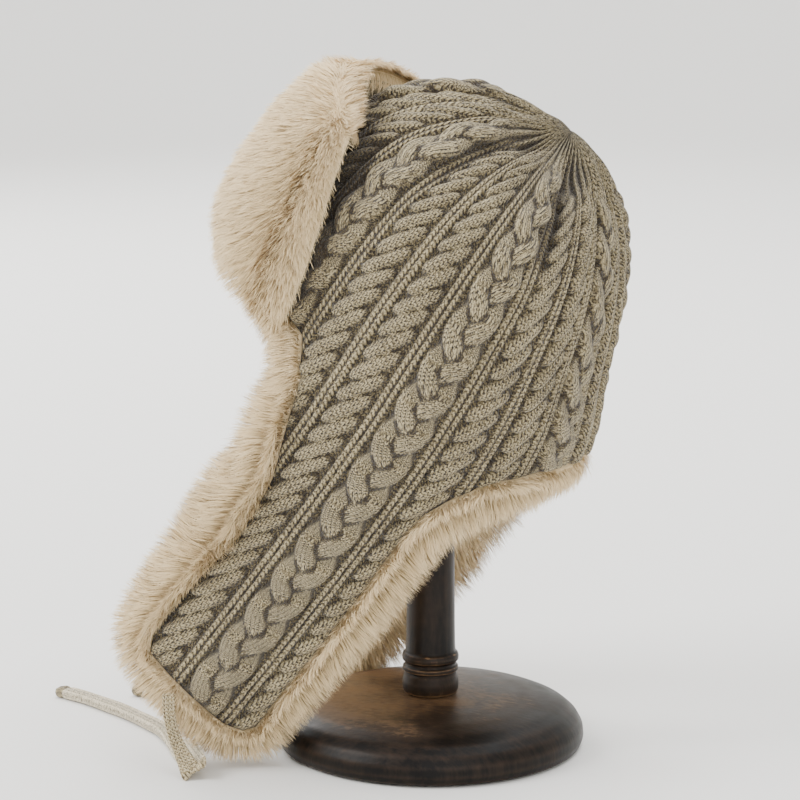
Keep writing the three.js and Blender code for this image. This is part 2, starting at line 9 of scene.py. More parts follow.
import bpy
import mathutils
import numpy as np
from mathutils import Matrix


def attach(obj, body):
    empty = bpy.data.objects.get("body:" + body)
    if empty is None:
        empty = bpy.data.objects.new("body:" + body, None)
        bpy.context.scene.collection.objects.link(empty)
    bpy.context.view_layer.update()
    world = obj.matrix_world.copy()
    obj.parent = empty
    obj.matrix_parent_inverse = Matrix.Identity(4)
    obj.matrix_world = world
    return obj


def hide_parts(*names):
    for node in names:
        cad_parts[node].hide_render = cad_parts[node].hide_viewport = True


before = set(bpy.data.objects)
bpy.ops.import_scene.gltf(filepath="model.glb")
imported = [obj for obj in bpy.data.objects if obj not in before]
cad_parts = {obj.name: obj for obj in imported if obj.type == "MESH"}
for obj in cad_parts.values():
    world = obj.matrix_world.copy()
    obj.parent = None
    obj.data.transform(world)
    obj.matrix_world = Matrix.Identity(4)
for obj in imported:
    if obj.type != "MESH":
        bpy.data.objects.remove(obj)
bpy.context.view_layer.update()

bl_info = {
    "name": "Cable-knit trapper hat",
    "version": (1, 0, 0),
    "blender": (4, 5, 0),
    "location": "View3D > Sidebar > Hat",
    "description": "Builds a cable-knit trapper hat with plush trim on a turned stand",
    "category": "Object",
}

MM = 0.001
TILT_BACK = math.radians(33)
POLE = np.array([0.0, 77.0, 350.0])
UP = np.array([0.0, 0.0, 1.0])

# Rings of the cloth from the gathered pole to the flap ends, one column for each of
# front drop, front radius, side drop, side radius, back drop, back radius and forward lean.
RINGS = np.array([
    [-5, 0, -5, 0, -5, 0, 0],
    [-3, 22, 3, 20, 3, 26, 0],
    [5, 55, 15, 45, 22, 49, 0],
    [28, 88, 34, 68, 45, 66, 0],
    [55, 104, 58, 83, 73, 80, 0],
    [90, 111, 92, 91, 105, 92, 0],
    [130, 112, 132, 94, 137, 104, 0],
    [175, 110, 178, 95, 175, 108, 0],
    [235, 108, 235, 95, 235, 108, 3],
    [305, 106, 305, 95, 305, 106, 8],
    [390, 104, 390, 93, 390, 102, 15],
], float)
# Length of cloth from the pole down to each ring.
RING_LENGTH = np.array([0, 20.1, 47, 76.8, 106, 140.9, 181, 227, 284, 354, 439], float)
RING_NUMBERS = np.arange(len(RINGS))

# Repeats of the pattern round the hat, the wale in degrees on which the first one starts, and
# how far the wales are drawn towards the sides.
REPEATS = 7
REPEAT_ANGLE = 360 / REPEATS
REPEAT_WIDTH = 92.0
PLAIT_START = 47.2
SIDE_STRETCH = 2.98

# A gather runs from the pole at the same share of each repeat and turns by the twist near the
# pole. Beside it the cloth lifts in a low lip.
FOLD_SHARE = 0.34
FOLD_DEPTHS = (5, 6, 4, 7, 9, 5, 5)
FOLD_WIDTH = 5.0
FOLD_TWIST = 9
FOLD_LIP = 1.2
FOLD_LIP_AWAY = 9
FOLD_LIP_WIDTH = 6

# Cables of one repeat in millimetres across it and over the cloth: a plait of three strands, two
# ropes of leaning bumps and three pairs of ridge columns, all over a purl ground.
GROUND_LEVEL = -3.2
PLAIT_MIDDLE = 13.34
PLAIT_SWING = 7.0
PLAIT_RISE = 2.3
PLAIT_TURN = 73.0
PLAIT_HALF_WIDTH = 6.2
PLAIT_HEIGHT = 4.0
ROPE_CENTRES = (45.3, 73.4)
ROPE_STEP = 14.0
ROPE_LEAN = math.radians(31)
ROPE_HALF_WIDTH = 4.15
ROPE_HALF_LENGTH = 16.2
ROPE_LEVEL = -3.0
ROPE_DIVE = 0.09
ROPE_HEIGHT = 5.2
RIDGE_CENTRES = (29.4, 33.3, 57.4, 61.3, 85.5, 89.4)
RIDGE_HALF_WIDTH = 1.95
RIDGE_HEIGHT = 2.9
GROOVE, PLAIT, ROPE, RIDGE = 0, 1, 2, 3
# Lit share of the bare ground, which takes painted shade, and how far a strand clears the one below before
# the painted shade in its crease is gone.
GROOVE_LIT_SHARE = 0.3
SHADE_CLEAR = 4.2
# Near the pole the cables give way to plain ribs, so many to a repeat.
POLE_RIBS = 8
POLE_RIB_HEIGHT = 1.7

# Ring coordinate of the hem at angles from the front.
HEM_ANGLE = (0, 45, 60.8, 66.8, 137, 140, 150, 160, 180)
HEM_RING = (6.45, 6.42, 6.5, 6.83, 6.97, 6.8, 6.6, 6.36, 6.26)
# Rows of the crown lie evenly along the cloth down to this ring.
HEM_MEAN_RING = 6.6
# Angles from the front where the edges of an ear flap leave the hem.
FLAP_FRONT = 67.0
FLAP_BACK = 137.0

# Front and back edges of an ear flap on the way down to its end.
FLAP_DOWN = (0, 0.06, 0.16, 0.26, 0.4, 0.52, 0.65, 0.77, 0.9, 1)
FLAP_FRONT_EDGE = (67, 69.5, 72.5, 75.8, 81, 82.8, 83.8, 82, 80.5, 80.5)
FLAP_BACK_EDGE = (137, 133, 128.6, 127.2, 127.6, 128, 128, 128.4, 128.2, 129)
FLAP_ACROSS = (0, 0.07, 0.4, 0.8, 0.94, 1)
FLAP_END_RING = (9.42, 9.52, 9.58, 9.65, 9.64, 9.58)

# Sheet grid: columns round the hat and rows down the crown and the flaps, and the columns
# between which each flap hangs. Coarser sheets take every fourth one, so all share one hem.
SHEET_COLUMNS = 448
CROWN_ROWS = 132
FLAP_ROWS = 104
FLAP_SPANS = ((28, 108), (224, 304))

# Inner face of the knit and outer face of the lining over the middle of the cloth, thickness of
# the lining with its pile, and how deep its ground lies in that pile.
KNIT_INSIDE = -4.6
LINING_OUTSIDE = -4.95
CROWN_LINING = 7.0
FLAP_LINING = 11.0
PILE_DEPTH = 1.5

# Reach and swell of the plush roll and length of its pile; place 0 is the nape, 1 to 2 a flap's
# back edge, 2 to 3 its end, 3 to 4 its front edge and 4.5 the brow. The ground of the roll
# reaches a share of that and the sink more, and swells less by the sink.
ROLL_PLACE = (0, 1, 1.6, 2, 2.9, 3.05, 3.25, 3.45, 3.67, 4, 4.5)
ROLL_REACH = (10, 14, 15, 18, 18, 25, 30, 37, 23, 12, 11)
ROLL_SWELL = (1.5, 5, 5, 4, 3.5, 4.5, 7, 8, 6, 1, -2)
ROLL_PILE = (11, 16, 15, 11, 11, 13, 15, 16, 17, 16, 13)
ROLL_GROUND_SHARE = 0.63
ROLL_SINK = 2.5
# Beside the knit the pile is a share as long as elsewhere, up to this step across the roll.
ROLL_SHORT_STEP = 1.6
ROLL_SHORT_SHARE = 0.6
# The far flap's back edge carries longer pile.
FAR_PILE_MORE = 0.7

# Rings and half angles of the visor's low and high edges, thickness of its knit, the room from
# there to the plush, and how many degrees the plush stands past the knit. The front stands off
# the cloth by VISOR_OUT at heights VISOR_HIGH, less a valley at a share of its half width.
VISOR_LOW_RING = 6.5
VISOR_HIGH_RING = 3.72
VISOR_LOW_ANGLE = 55.0
VISOR_HIGH_ANGLE = 37.0
VISOR_BACKING = 3.0
VISOR_ROOM = 0.9
VISOR_SPARE = 1.5
VISOR_HIGH = (0, 0.15, 0.4, 0.65, 0.88, 1)
VISOR_OUT = (20, 29, 34, 36, 34, 27)
VISOR_VALLEY = 0.78
VISOR_VALLEY_DEPTH = 6
VISOR_VALLEY_WIDTH = 0.09
# Shares of the visor's locks that stand on its top rim, and of those that turn down behind it.
RIM_SHARE = 0.16
TUCKED_SHARE = 0.55
TUCKED_WITHIN = 0.92
TUCKED_LONGER = 1.35

# How each stretch of pile gathers: pull of a lock on its hairs, lean of a lock, stray of a hair,
# width of a hair over the drawn width, and unevenness of its tone.
TRIM_PILE = {"pull": 0.35, "lean": 0.13, "stray": 0.11, "widths": (0.6, 1.2), "mottle": 0.12}
VISOR_PILE = {"pull": 0.4, "lean": 0.12, "stray": 0.11, "widths": (0.6, 1.2), "mottle": 0.14}
INSIDE_PILE = {"pull": 0.9, "lean": 0.22, "stray": 0, "widths": (0.8, 1.4), "mottle": 0.08}
# A lock stays this far above the floor.
FLOOR_ROOM = 1.5

# Centre lines of the flat ties: x, y, z, then the direction of the strip's width, its width
# and its thickness. A tie hangs narrow, lies wide at its fold and curls up thick towards its end.
LEFT_TIE = np.array([
    [98.2, -120.5, 45, -0.1, 0.97, -0.15, 9, 2.8],
    [100.8, -119.5, 36, -0.2, 0.97, -0.1, 8.6, 2.8],
    [101.8, -117, 25, -0.3, 0.95, 0, 8.6, 2.8],
    [102.4, -112.5, 15, -0.4, 0.92, 0, 10.5, 2.6],
    [106, -106.5, 8, -0.5, 0.85, 0.1, 12.5, 2.4],
    [107.5, -103, 4.9, -0.5, 0.78, 0.35, 12.5, 2.4],
    [104, -103.2, 5.2, -0.4, 0.62, 0.6, 12.5, 2.4],
    [95, -108.4, 6.2, -0.33, 0.53, 0.78, 13, 2.4],
    [82, -117, 6.2, -0.33, 0.53, 0.78, 13, 2.4],
    [71, -124.7, 5, -0.36, 0.6, 0.6, 10.5, 3.4],
    [62, -131, 3.6, -0.48, 0.72, 0.4, 8.5, 4.6],
    [49, -140.5, 3.4, -0.6, 0.78, 0, 9, 6],
    [36, -151, 3.4, -0.7, 0.7, 0, 9, 6.2],
    [20, -171, 3.4, -0.82, 0.57, 0, 9, 6.2],
    [10, -185, 3.4, -0.84, 0.53, 0, 9, 6.2],
    [1, -200, 3.4, -0.86, 0.5, 0, 9, 6.2],
    [-10, -220, 3.4, -0.9, 0.4, 0, 9, 6.2],
    [-18, -240, 3.4, -0.92, 0.35, 0, 9, 6.2],
])
RIGHT_TIE = np.array([
    [-98.2, -120.5, 45, 0.1, 0.97, -0.15, 9, 2.8],
    [-100.8, -119.5, 36, 0.2, 0.97, -0.1, 8.6, 2.8],
    [-101.6, -117.5, 25, 0.3, 0.95, 0, 8.6, 2.8],
    [-101.2, -116, 14, 0.3, 0.95, 0, 10.5, 2.6],
    [-101.5, -116, 6, 0.1, 0.99, 0, 12, 2.4],
    [-105, -119.5, 2, -0.3, 0.95, 0, 12, 2.4],
    [-114, -126, 1.8, -0.65, 0.75, 0, 12, 2.4],
    [-120, -142, 1.8, -1, -0.05, 0, 12, 2.4],
    [-107, -156, 1.8, -0.35, -0.93, 0, 12, 2.4],
    [-91, -151, 1.8, 0.6, -0.8, 0, 12, 2.4],
    [-83, -135, 2, 0.85, -0.5, 0, 11, 3],
    [-74, -120, 2.6, 0.6, -0.8, 0, 10, 4],
    [-60, -116, 3.2, -0.2, -0.97, 0, 9, 5.4],
    [-46, -126, 3.4, -0.85, -0.5, 0, 9, 6.2],
    [-37, -148, 3.4, -0.96, -0.25, 0, 9, 6.2],
    [-33, -174, 3.4, -1, -0.08, 0, 9, 6.2],
    [-33.5, -198, 3.4, -1, 0.04, 0, 9, 6.2],
])
# Length of the cuff at a tie's end and its height over the floor.
TIE_CUFF = 7.0
TIE_FLOOR = 0.2
# The hanging stretch of a tie, as far as this point of a route, takes a darker yarn.
TIE_HANGING_END = 6.4
# Sections along a tie, points round one and ribs over its width.
TIE_SAMPLES = 260
TIE_SIDES = 56
TIE_RIBS = 5
TIE_SHADOW = "#7F7259"
TIE_HIGHLIGHT = "#F0E5CC"
TIE_HANGING = ("#5F5238", "#A8966F", "#D6C8A6")

# How far uneven tension jostles the stitches, at most, across and down.
JOSTLE_ACROSS = 1.6
JOSTLE_DOWN = 3.2

# Turned parts of the stand as radius and height, bottom to top.
HEAD_LOW = 335.4
BASE_PROFILE = np.array([
    [0, 0], [82, 0], [86, 1.8], [87.5, 6], [87, 11.5], [84, 17], [78.5, 21.6], [70, 25.2], [58, 27.6],
    [44, 28.8], [26, 29.4], [19, 29.6], [0, 29.6],
], float)
POST_PROFILE = np.array([
    [0, 29.9], [15, 29.9], [16, 33], [16, 37], [15.2, 41], [14.2, 42.6], [15.8, 43.4], [15.8, 45.6],
    [14.6, 46.6], [14.6, 48.2], [16, 49.4], [16.2, 51.4], [15.6, 53.4], [14, 54.6], [13.4, 120],
    [13, HEAD_LOW - 0.3], [0, HEAD_LOW - 0.3],
], float)
HEAD_PROFILE = np.array([
    [0, 0], [26, 0], [36, 5.3], [38, 8.3], [36, 11.5], [28, 16.3], [17, 19.9], [0, 21.7],
], float) + np.array([0, HEAD_LOW])
PROFILE_CUTS = 8
PROFILE_PASSES = 3

# Middle of the photograph, column and row of the middle of the stand's foot in it, and the size
# of a pixel there.
PHOTO_MIDDLE = 400
FOOT_COLUMN = 431
FOOT_ROW = 749
PIXEL = 0.56

# Floor of the studio in metres: flat to a radius, bent up by another, then a wall.
FLOOR_RADIUS = 3.2
FLOOR_BEND = 1.6
WALL_TOP = 4.0
FLOOR_SIDES = 96


def smooth(low, high, x):
    """Rises from 0 at low to 1 at high as 3f^2 - 2f^3, where f is the share of the way."""
    f = np.clip((x - low) / (high - low), 0, 1)
    return f * f * (3 - 2 * f)


def mix(a, b, f):
    """a at f = 0 and b at f = 1, straight between."""
    return a + (b - a) * f


def unit(vectors):
    """Each vector over its own length."""
    size = np.linalg.norm(vectors, axis=-1, keepdims=True)
    return vectors / np.maximum(size, 1e-12)


def ring_values(v):
    """Catmull-Rom values of all ring columns at ring coordinate v: half of
    2p1 + (p2 - p0)f + (2p0 - 5p1 + 4p2 - p3)f^2 + (3p1 - p0 - 3p2 + p3)f^3."""
    last = len(RINGS) - 1
    i = np.clip(np.floor(v).astype(int), 0, last - 1)
    f = (v - i)[..., None]
    p0 = RINGS[np.maximum(i - 1, 0)]
    p1 = RINGS[i]
    p2 = RINGS[i + 1]
    p3 = RINGS[np.minimum(i + 2, last)]
    square = (2 * p0 - 5 * p1 + 4 * p2 - p3) * f * f
    cube = (3 * p1 - p0 - 3 * p2 + p3) * f * f * f
    return 0.5 * (2 * p1 + (p2 - p0) * f + square + cube)


def wale_angle(angle):
    """Wale coordinate in degrees: the angle plus a stretch of sin(2 angle)."""
    return angle + SIDE_STRETCH * np.sin(np.radians(2 * angle))


def angle_of_wale(wale):
    """The angle whose wale coordinate is given, by repeating angle = wale - stretch."""
    angle = wale.copy()
    for _ in range(6):
        angle = wale - SIDE_STRETCH * np.sin(np.radians(2 * angle))
    return angle


def fold_depth(angle, v, radius):
    """Depth of seven folds from the pole: each is D exp(-(x/w)^2) minus a low lip beside it."""
    window = smooth(0.5, 1.4, v) * (1 - smooth(2.9, 4.3, v))
    depth = np.zeros_like(radius)
    twist = FOLD_TWIST * (1 - smooth(0.6, 2.4, v))
    for k, deep in enumerate(FOLD_DEPTHS):
        centre = PLAIT_START + (k - 3 + FOLD_SHARE) * REPEAT_ANGLE + twist
        away = wale_angle(angle) - centre
        away -= 360 * np.round(away / 360)
        across = np.radians(away) * radius
        width = np.where(across > 0, FOLD_WIDTH * 1.5, FOLD_WIDTH)
        depth += deep * np.exp(-((across / width) ** 2))
        depth -= FOLD_LIP * np.exp(-(((across + FOLD_LIP_AWAY) / FOLD_LIP_WIDTH) ** 2))
    return depth * window


def cloth_point(angle, v):
    """Middle of the cloth in the hat's frame: a ring with radius and drop mixed by
    cos^2 in front, sin^2 at the side and cos^2 behind, less the folds."""
    angle, v = np.broadcast_arrays(np.asarray(angle, float), np.asarray(v, float))
    c = np.cos(np.radians(angle))
    s = np.sin(np.radians(angle))
    front = np.maximum(c, 0) ** 2
    back = np.maximum(-c, 0) ** 2
    side = s * s
    q = ring_values(v)
    drop = front * q[..., 0] + side * q[..., 2] + back * q[..., 4]
    r = front * q[..., 1] + side * q[..., 3] + back * q[..., 5]
    fold = fold_depth(angle, v, r)
    lift = 1 - smooth(1, 5, v)
    r = r - fold * (1 - lift)
    return np.stack([r * s, -r * c - q[..., 6], -drop - fold * lift], -1)


def cloth_normal(angle, v):
    """Outward normal from steps of 3 degrees and 0.15 ring, turned upright near the pole."""
    w = np.maximum(v, 0.35)
    across = cloth_point(angle + 3, w) - cloth_point(angle - 3, w)
    down = cloth_point(angle, w + 0.15) - cloth_point(angle, w - 0.15)
    n = unit(np.cross(down, across))
    up = unit(np.array([0, -0.25, 1.0]))
    return unit(mix(n, up, (1 - smooth(0.1, 1.2, np.asarray(v, float)))[..., None]))


def offset_point(angle, v, out):
    """Cloth point moved out along its normal, in the hat's frame."""
    return cloth_point(angle, v) + cloth_normal(angle, v) * np.asarray(out)[..., None]


def on_stand(p, place=True):
    """Tips the hat's frame back by the tilt and moves its pole to its place, in metres."""
    c = math.cos(TILT_BACK)
    s = math.sin(TILT_BACK)
    turned = np.stack([p[..., 0], p[..., 1] * c + p[..., 2] * s, -p[..., 1] * s + p[..., 2] * c], -1)
    return (turned + POLE) * MM if place else turned


def make_piece(name, points, faces, material, uv=None, smooth_faces=True):
    """Mesh object at the origin from points in metres and arrays of faces by corner count;
    uv holds one row for each face corner."""
    mesh = bpy.data.meshes.new(name)
    corners = np.concatenate([f.ravel() for f in faces])
    sizes = np.concatenate([np.full(len(f), f.shape[1]) for f in faces])
    mesh.vertices.add(len(points))
    mesh.vertices.foreach_set("co", np.asarray(points, np.float32).ravel())
    mesh.loops.add(len(corners))
    mesh.loops.foreach_set("vertex_index", corners.astype(np.int32))
    mesh.polygons.add(len(sizes))
    mesh.polygons.foreach_set("loop_start", (np.cumsum(sizes) - sizes).astype(np.int32))
    mesh.update(calc_edges=True)
    if uv is not None:
        layer = mesh.uv_layers.new(name="pattern")
        layer.data.foreach_set("uv", np.asarray(uv, np.float32).ravel())
    if smooth_faces:
        mesh.shade_smooth()
    mesh.materials.append(material)
    piece = bpy.data.objects.new(name, mesh)
    bpy.context.collection.objects.link(piece)
    return piece


def corners(grid):
    """Values at the corners of each cell: up-left, down-left, down-right, up-right."""
    return np.stack([grid[:-1, :-1], grid[1:, :-1], grid[1:, 1:], grid[:-1, 1:]], 2)


def grid_faces(index, flip=False):
    """Quads of a grid of point numbers."""
    quads = corners(index).reshape(-1, 4)
    return quads[:, ::-1] if flip else quads


def tube_faces(rows, columns):
    """Faces of rings of points that are closed by a fan at each end; the middles of the two
    fans come after the rings."""
    index = np.arange(rows * columns).reshape(rows, columns)
    index = np.hstack([index, index[:, :1]])
    middle = rows * columns
    fans = np.concatenate([
        np.stack([np.full(columns, middle), index[0, 1:], index[0, :-1]], -1),
        np.stack([np.full(columns, middle + 1), index[-1, :-1], index[-1, 1:]], -1)])
    return [grid_faces(index, flip=True), fans]


def pole_fan(closed):
    """Triangles between the pole, which the first row of a closed grid repeats, and its first ring."""
    return np.stack([closed[0, :-1], closed[1, :-1], closed[1, 1:]], -1)


def sheet_places(step):
    """Angles and ring coordinates of a T-shaped sheet, as one flat list with its grids of
    point numbers: a fan from the pole to the hem, then a grid hung on the hem for each flap."""
    wale = PLAIT_START + np.arange(0, SHEET_COLUMNS, step) * 360 / SHEET_COLUMNS
    column = angle_of_wale(wale)
    column = column - 360 * np.round(column / 360)
    hem = np.interp(np.abs(column), HEM_ANGLE, HEM_RING)
    rows = np.arange(0, CROWN_ROWS + 1, step) / CROWN_ROWS
    length = rows * np.interp(HEM_MEAN_RING, RING_NUMBERS, RING_LENGTH)
    share = np.interp(length, RING_LENGTH, RING_NUMBERS) / HEM_MEAN_RING
    crown_v = share[1:, None] * hem
    crown_angle = np.broadcast_to(column, crown_v.shape)
    crown = np.zeros((len(rows), len(column)), int)
    crown[1:] = 1 + np.arange(crown_v.size).reshape(crown_v.shape)
    angles = [column[:1], crown_angle.ravel()]
    rings = [np.zeros(1), crown_v.ravel()]
    start = 1 + crown_v.size
    down = np.arange(step, FLAP_ROWS + 1, step)[:, None] / FLAP_ROWS
    settle = 1 - smooth(0, 0.2, down)
    flaps = []
    for first, last in FLAP_SPANS:
        edge = column[first // step:last // step + 1]
        side = 1 if edge[0] > 0 else -1
        low = np.abs(edge).min()
        high = np.abs(edge).max()
        across = (np.abs(edge) - low) / (high - low)
        front = np.interp(down, FLAP_DOWN, FLAP_FRONT_EDGE) + (low - FLAP_FRONT) * settle
        back = np.interp(down, FLAP_DOWN, FLAP_BACK_EDGE) + (high - FLAP_BACK) * settle
        angle = side * mix(front, back, across)
        end = np.interp(across, FLAP_ACROSS, FLAP_END_RING)
        v = mix(hem[first // step:last // step + 1], end, down)
        numbers = start + np.arange(v.size).reshape(v.shape)
        flaps.append(np.vstack([crown[-1, first // step:last // step + 1], numbers]))
        angles.append(angle.ravel())
        rings.append(v.ravel())
        start += v.size
    return np.concatenate(angles), np.concatenate(rings), crown, flaps


def hem_loop(crown, flaps, step):
    """Point numbers round the open edge of a sheet, and the place of each on the roll's table."""
    near, far = flaps
    spans = [(first // step, last // step) for first, last in FLAP_SPANS]
    hem = crown[-1]
    down = np.arange(len(near)) / (len(near) - 1)
    across = np.arange(near.shape[1]) / (near.shape[1] - 1)
    numbers = []
    places = []

    def run(line, place):
        """Adds a line of point numbers and their places, all but the last."""
        numbers.append(line[:-1])
        places.append(place[:-1])

    brow_place = np.linspace(4.0, 5.0, len(hem) - spans[1][1] + spans[0][0] + 1)
    run(hem[:spans[0][0] + 1], brow_place[len(hem) - spans[1][1]:])
    run(near[:, 0], 5 + down)
    run(near[-1], 6 + across)
    run(near[::-1, -1], 7 + down)
    run(hem[spans[0][1]:spans[1][0] + 1], np.linspace(8, 10, spans[1][0] - spans[0][1] + 1))
    run(far[:, 0], 1 + down)
    run(far[-1], 2 + across)
    run(far[::-1, -1], 3 + down)
    numbers.append(hem[spans[1][1]:])
    places.append(brow_place[:len(hem) - spans[1][1]])
    place = np.concatenate(places)
    place = np.where(place > 9, place - 9, place)
    return np.concatenate(numbers), np.where(place > 4.5, 9 - place, place)


def plait_line(s, strand):
    """Centre, lean and rise of one strand of the plait: it swings by sin t and rises by -sin 2t,
    so that it lies on top as it leaves either side; t is a third of a turn on for each strand."""
    turn = 2 * np.pi * (s / PLAIT_TURN + strand / 3)
    lean = PLAIT_SWING * 2 * np.pi / PLAIT_TURN * np.cos(turn)
    return PLAIT_MIDDLE + PLAIT_SWING * np.sin(turn), lean, -PLAIT_RISE * np.sin(2 * turn)


def cable_relief(x, s):
    """Height of the cables x mm across a repeat and s mm along it, with the kind and number of the
    strand on top and its lit share for painted shade, 0 at the strand's side and where it dives under
    the next, and 1 on its middle. A plait strand and a ridge column are half ellipses across their own
    line; a rope bump is a super-ellipse leaning on its wale, one every rope step."""
    height = np.full(x.shape, GROUND_LEVEL)
    kind = np.full(x.shape, GROOVE)
    number = np.zeros(x.shape, int)
    core = np.zeros(x.shape)
    under = height.copy()

    def lay(base, top, body, this_kind, this_number):
        """Lays a strand of height base + top sqrt(body) where it is the highest so far."""
        round_off = np.sqrt(np.maximum(body, 0))
        level = np.where(body > 0, base + top * round_off, -9)
        np.maximum(under, np.minimum(level, height), out=under)
        over = level > height
        height[over] = level[over]
        kind[over] = this_kind
        number[over] = np.broadcast_to(this_number, x.shape)[over]
        core[over] = round_off[over]

    for strand in range(3):
        centre, lean, rise = plait_line(s, strand)
        away = (x - centre) / np.sqrt(1 + lean * lean) / PLAIT_HALF_WIDTH
        lay(rise - PLAIT_RISE, PLAIT_HEIGHT, 1 - np.abs(away) ** 2.8, PLAIT, strand)
    for rope, centre in enumerate(ROPE_CENTRES):
        nearest = np.floor(s / ROPE_STEP).astype(int)
        for near in (-1, 0, 1, 2):
            bump = nearest + near
            ds = s - ROPE_STEP * (bump + 0.5 * rope)
            along = (x - centre) * math.sin(ROPE_LEAN) - ds * math.cos(ROPE_LEAN)
            across = (x - centre) * math.cos(ROPE_LEAN) + ds * math.sin(ROPE_LEAN)
            body = 1 - (across / ROPE_HALF_WIDTH) ** 2 - (np.abs(along) / ROPE_HALF_LENGTH) ** 4
            lay(ROPE_LEVEL - ROPE_DIVE * along, ROPE_HEIGHT, body, ROPE, bump * 2 + rope)
    for column, centre in enumerate(RIDGE_CENTRES):
        lay(GROUND_LEVEL, RIDGE_HEIGHT, 1 - ((x - centre) / RIDGE_HALF_WIDTH) ** 2, RIDGE, column)
    # Painted shade in the creases where a strand dives under the next, and on the sunken ground.
    clear = smooth(0, SHADE_CLEAR, height - under)
    core = np.where(kind == GROOVE, GROOVE_LIT_SHARE, core * clear)
    return height, kind, number, core


def strand_place(x, s, kind, number):
    """Millimetres across and along the strand that a face belongs to, from its own centre line."""
    centre, lean, _ = plait_line(s, number)
    size = np.sqrt(1 + lean * lean)
    across = np.where(kind == PLAIT, (x - centre) / size, x)
    along = np.where(kind == PLAIT, (s + (x - centre) * lean) / size + 9 * number, s)
    bump = number // 2
    rope = number % 2
    middle = np.where(rope == 0, ROPE_CENTRES[0], ROPE_CENTRES[1])
    ds = s - ROPE_STEP * (bump + 0.5 * rope)
    rope_across = (x - middle) * math.cos(ROPE_LEAN) + ds * math.sin(ROPE_LEAN)
    rope_along = ds * math.cos(ROPE_LEAN) - (x - middle) * math.sin(ROPE_LEAN) + 5.3 * bump
    across = np.where(kind == ROPE, rope_across, across)
    along = np.where(kind == ROPE, rope_along, along)
    column = np.array(RIDGE_CENTRES)[np.clip(number, 0, 5)]
    across = np.where(kind == RIDGE, 1.2 + (x - column) * 0.6, across)
    along = np.where(kind == RIDGE, s * 0.85 + 1.3 * number, along)
    return across, along


def knit_place(angle, v, wale=None):
    """Repeat number, millimetres across it and millimetres down the wale from the pole."""
    wale = wale_angle(angle) if wale is None else wale
    turn = (wale - PLAIT_START) / REPEAT_ANGLE
    s = np.interp(v, RING_NUMBERS, RING_LENGTH)
    repeat = np.floor(turn)
    wander = 0.7 * np.sin(s / 21 + 2.3 * repeat) + 0.4 * np.sin(s / 8.3 + 5.1 * repeat)
    return repeat, (turn - repeat) * REPEAT_WIDTH, s + 9.3 * repeat + wander


def visor_gap_shadow(angle, v):
    """Share of painted shadow in the gap behind the visor: 1 on the cloth close behind its free edge and 0
    from 2.6 degrees beside it.
    """
    high = (VISOR_LOW_RING - v) / (VISOR_LOW_RING - VISOR_HIGH_RING)
    free_edge, _ = visor_place(1.0, np.clip(high, 0, 1), 0.0)
    beside = 1 - smooth(0.6, 2.6, np.abs(angle) - free_edge)
    return beside * smooth(-0.05, 0.1, high) * (1 - smooth(0.9, 1.2, high))


def knit_height(angle, v, edge):
    """Relief of the knit over its cloth: cables that shrink into ribs near the pole, sunk by 1.1 mm
    on the crown and flattened at the hem. Its lit share comes with it, for the yarn's painted shade;
    it is low between the pole ribs, in the folds, along the hem and in the gap behind the visor."""
    _, x, s = knit_place(angle, v)
    height, _, _, core = cable_relief(x, s)
    fade = smooth(0.5, 1.7, v)
    wave = np.cos(2 * np.pi * POLE_RIBS * x / REPEAT_WIDTH)
    ribs = POLE_RIB_HEIGHT * wave * smooth(0.1, 0.5, v)
    cabled = smooth(1.3, 2.0, v)
    height = mix(ribs - 0.5, height * mix(0.5, 1, fade), cabled)
    # Painted shade between the pole ribs.
    core = mix(0.5 + 0.4 * wave, core, cabled)
    p = cloth_point(angle, v)
    fold = fold_depth(angle, v, np.hypot(p[..., 0], p[..., 1]))
    # Painted shade in the folds.
    core = core * (1 - 0.55 * smooth(1.0, 7.0, fold))
    height = height - 1.1 * (1 - smooth(4.5, 6, v))
    # Painted shadow in the gap behind the visor.
    core = core * (1 - 0.8 * visor_gap_shadow(angle, v))
    # Painted shade along the hem.
    return mix(-2.6, height, edge), core * mix(0.5, 1, edge)


def edge_shares(crown, flaps, total):
    """0 at the hem, rising to 1 about 3 mm inside it."""
    edge = np.ones(total)
    rise = np.array([0.0, 0.55, 0.9])
    first, last = FLAP_SPANS[0]
    between = FLAP_SPANS[1]
    hem = np.ones(SHEET_COLUMNS, bool)
    hem[first + 1:last] = False
    hem[between[0] + 1:between[1]] = False
    for row, value in enumerate(rise):
        edge[crown[-1 - row, hem]] = value
    for flap in flaps:
        for row, value in enumerate(rise):
            edge[flap[-1 - row]] = np.minimum(edge[flap[-1 - row]], value)
            edge[flap[:, row]] = np.minimum(edge[flap[:, row]], value)
            edge[flap[:, -1 - row]] = np.minimum(edge[flap[:, -1 - row]], value)
    return edge


def fourfold_strip(fine, coarse):
    """Triangles of a band from a fine loop to one with a point for every fourth of its own."""
    a = fine.reshape(-1, 4)
    a = np.hstack([a, np.roll(a[:, :1], -1, axis=0)])
    b = coarse
    c = np.roll(coarse, -1)
    parts = [
        np.stack([a[:, 0], b, a[:, 1]], -1),
        np.stack([a[:, 1], b, a[:, 2]], -1),
        np.stack([b, c, a[:, 2]], -1),
        np.stack([a[:, 2], c, a[:, 3]], -1),
        np.stack([a[:, 3], c, a[:, 4]], -1),
    ]
    return np.concatenate(parts)


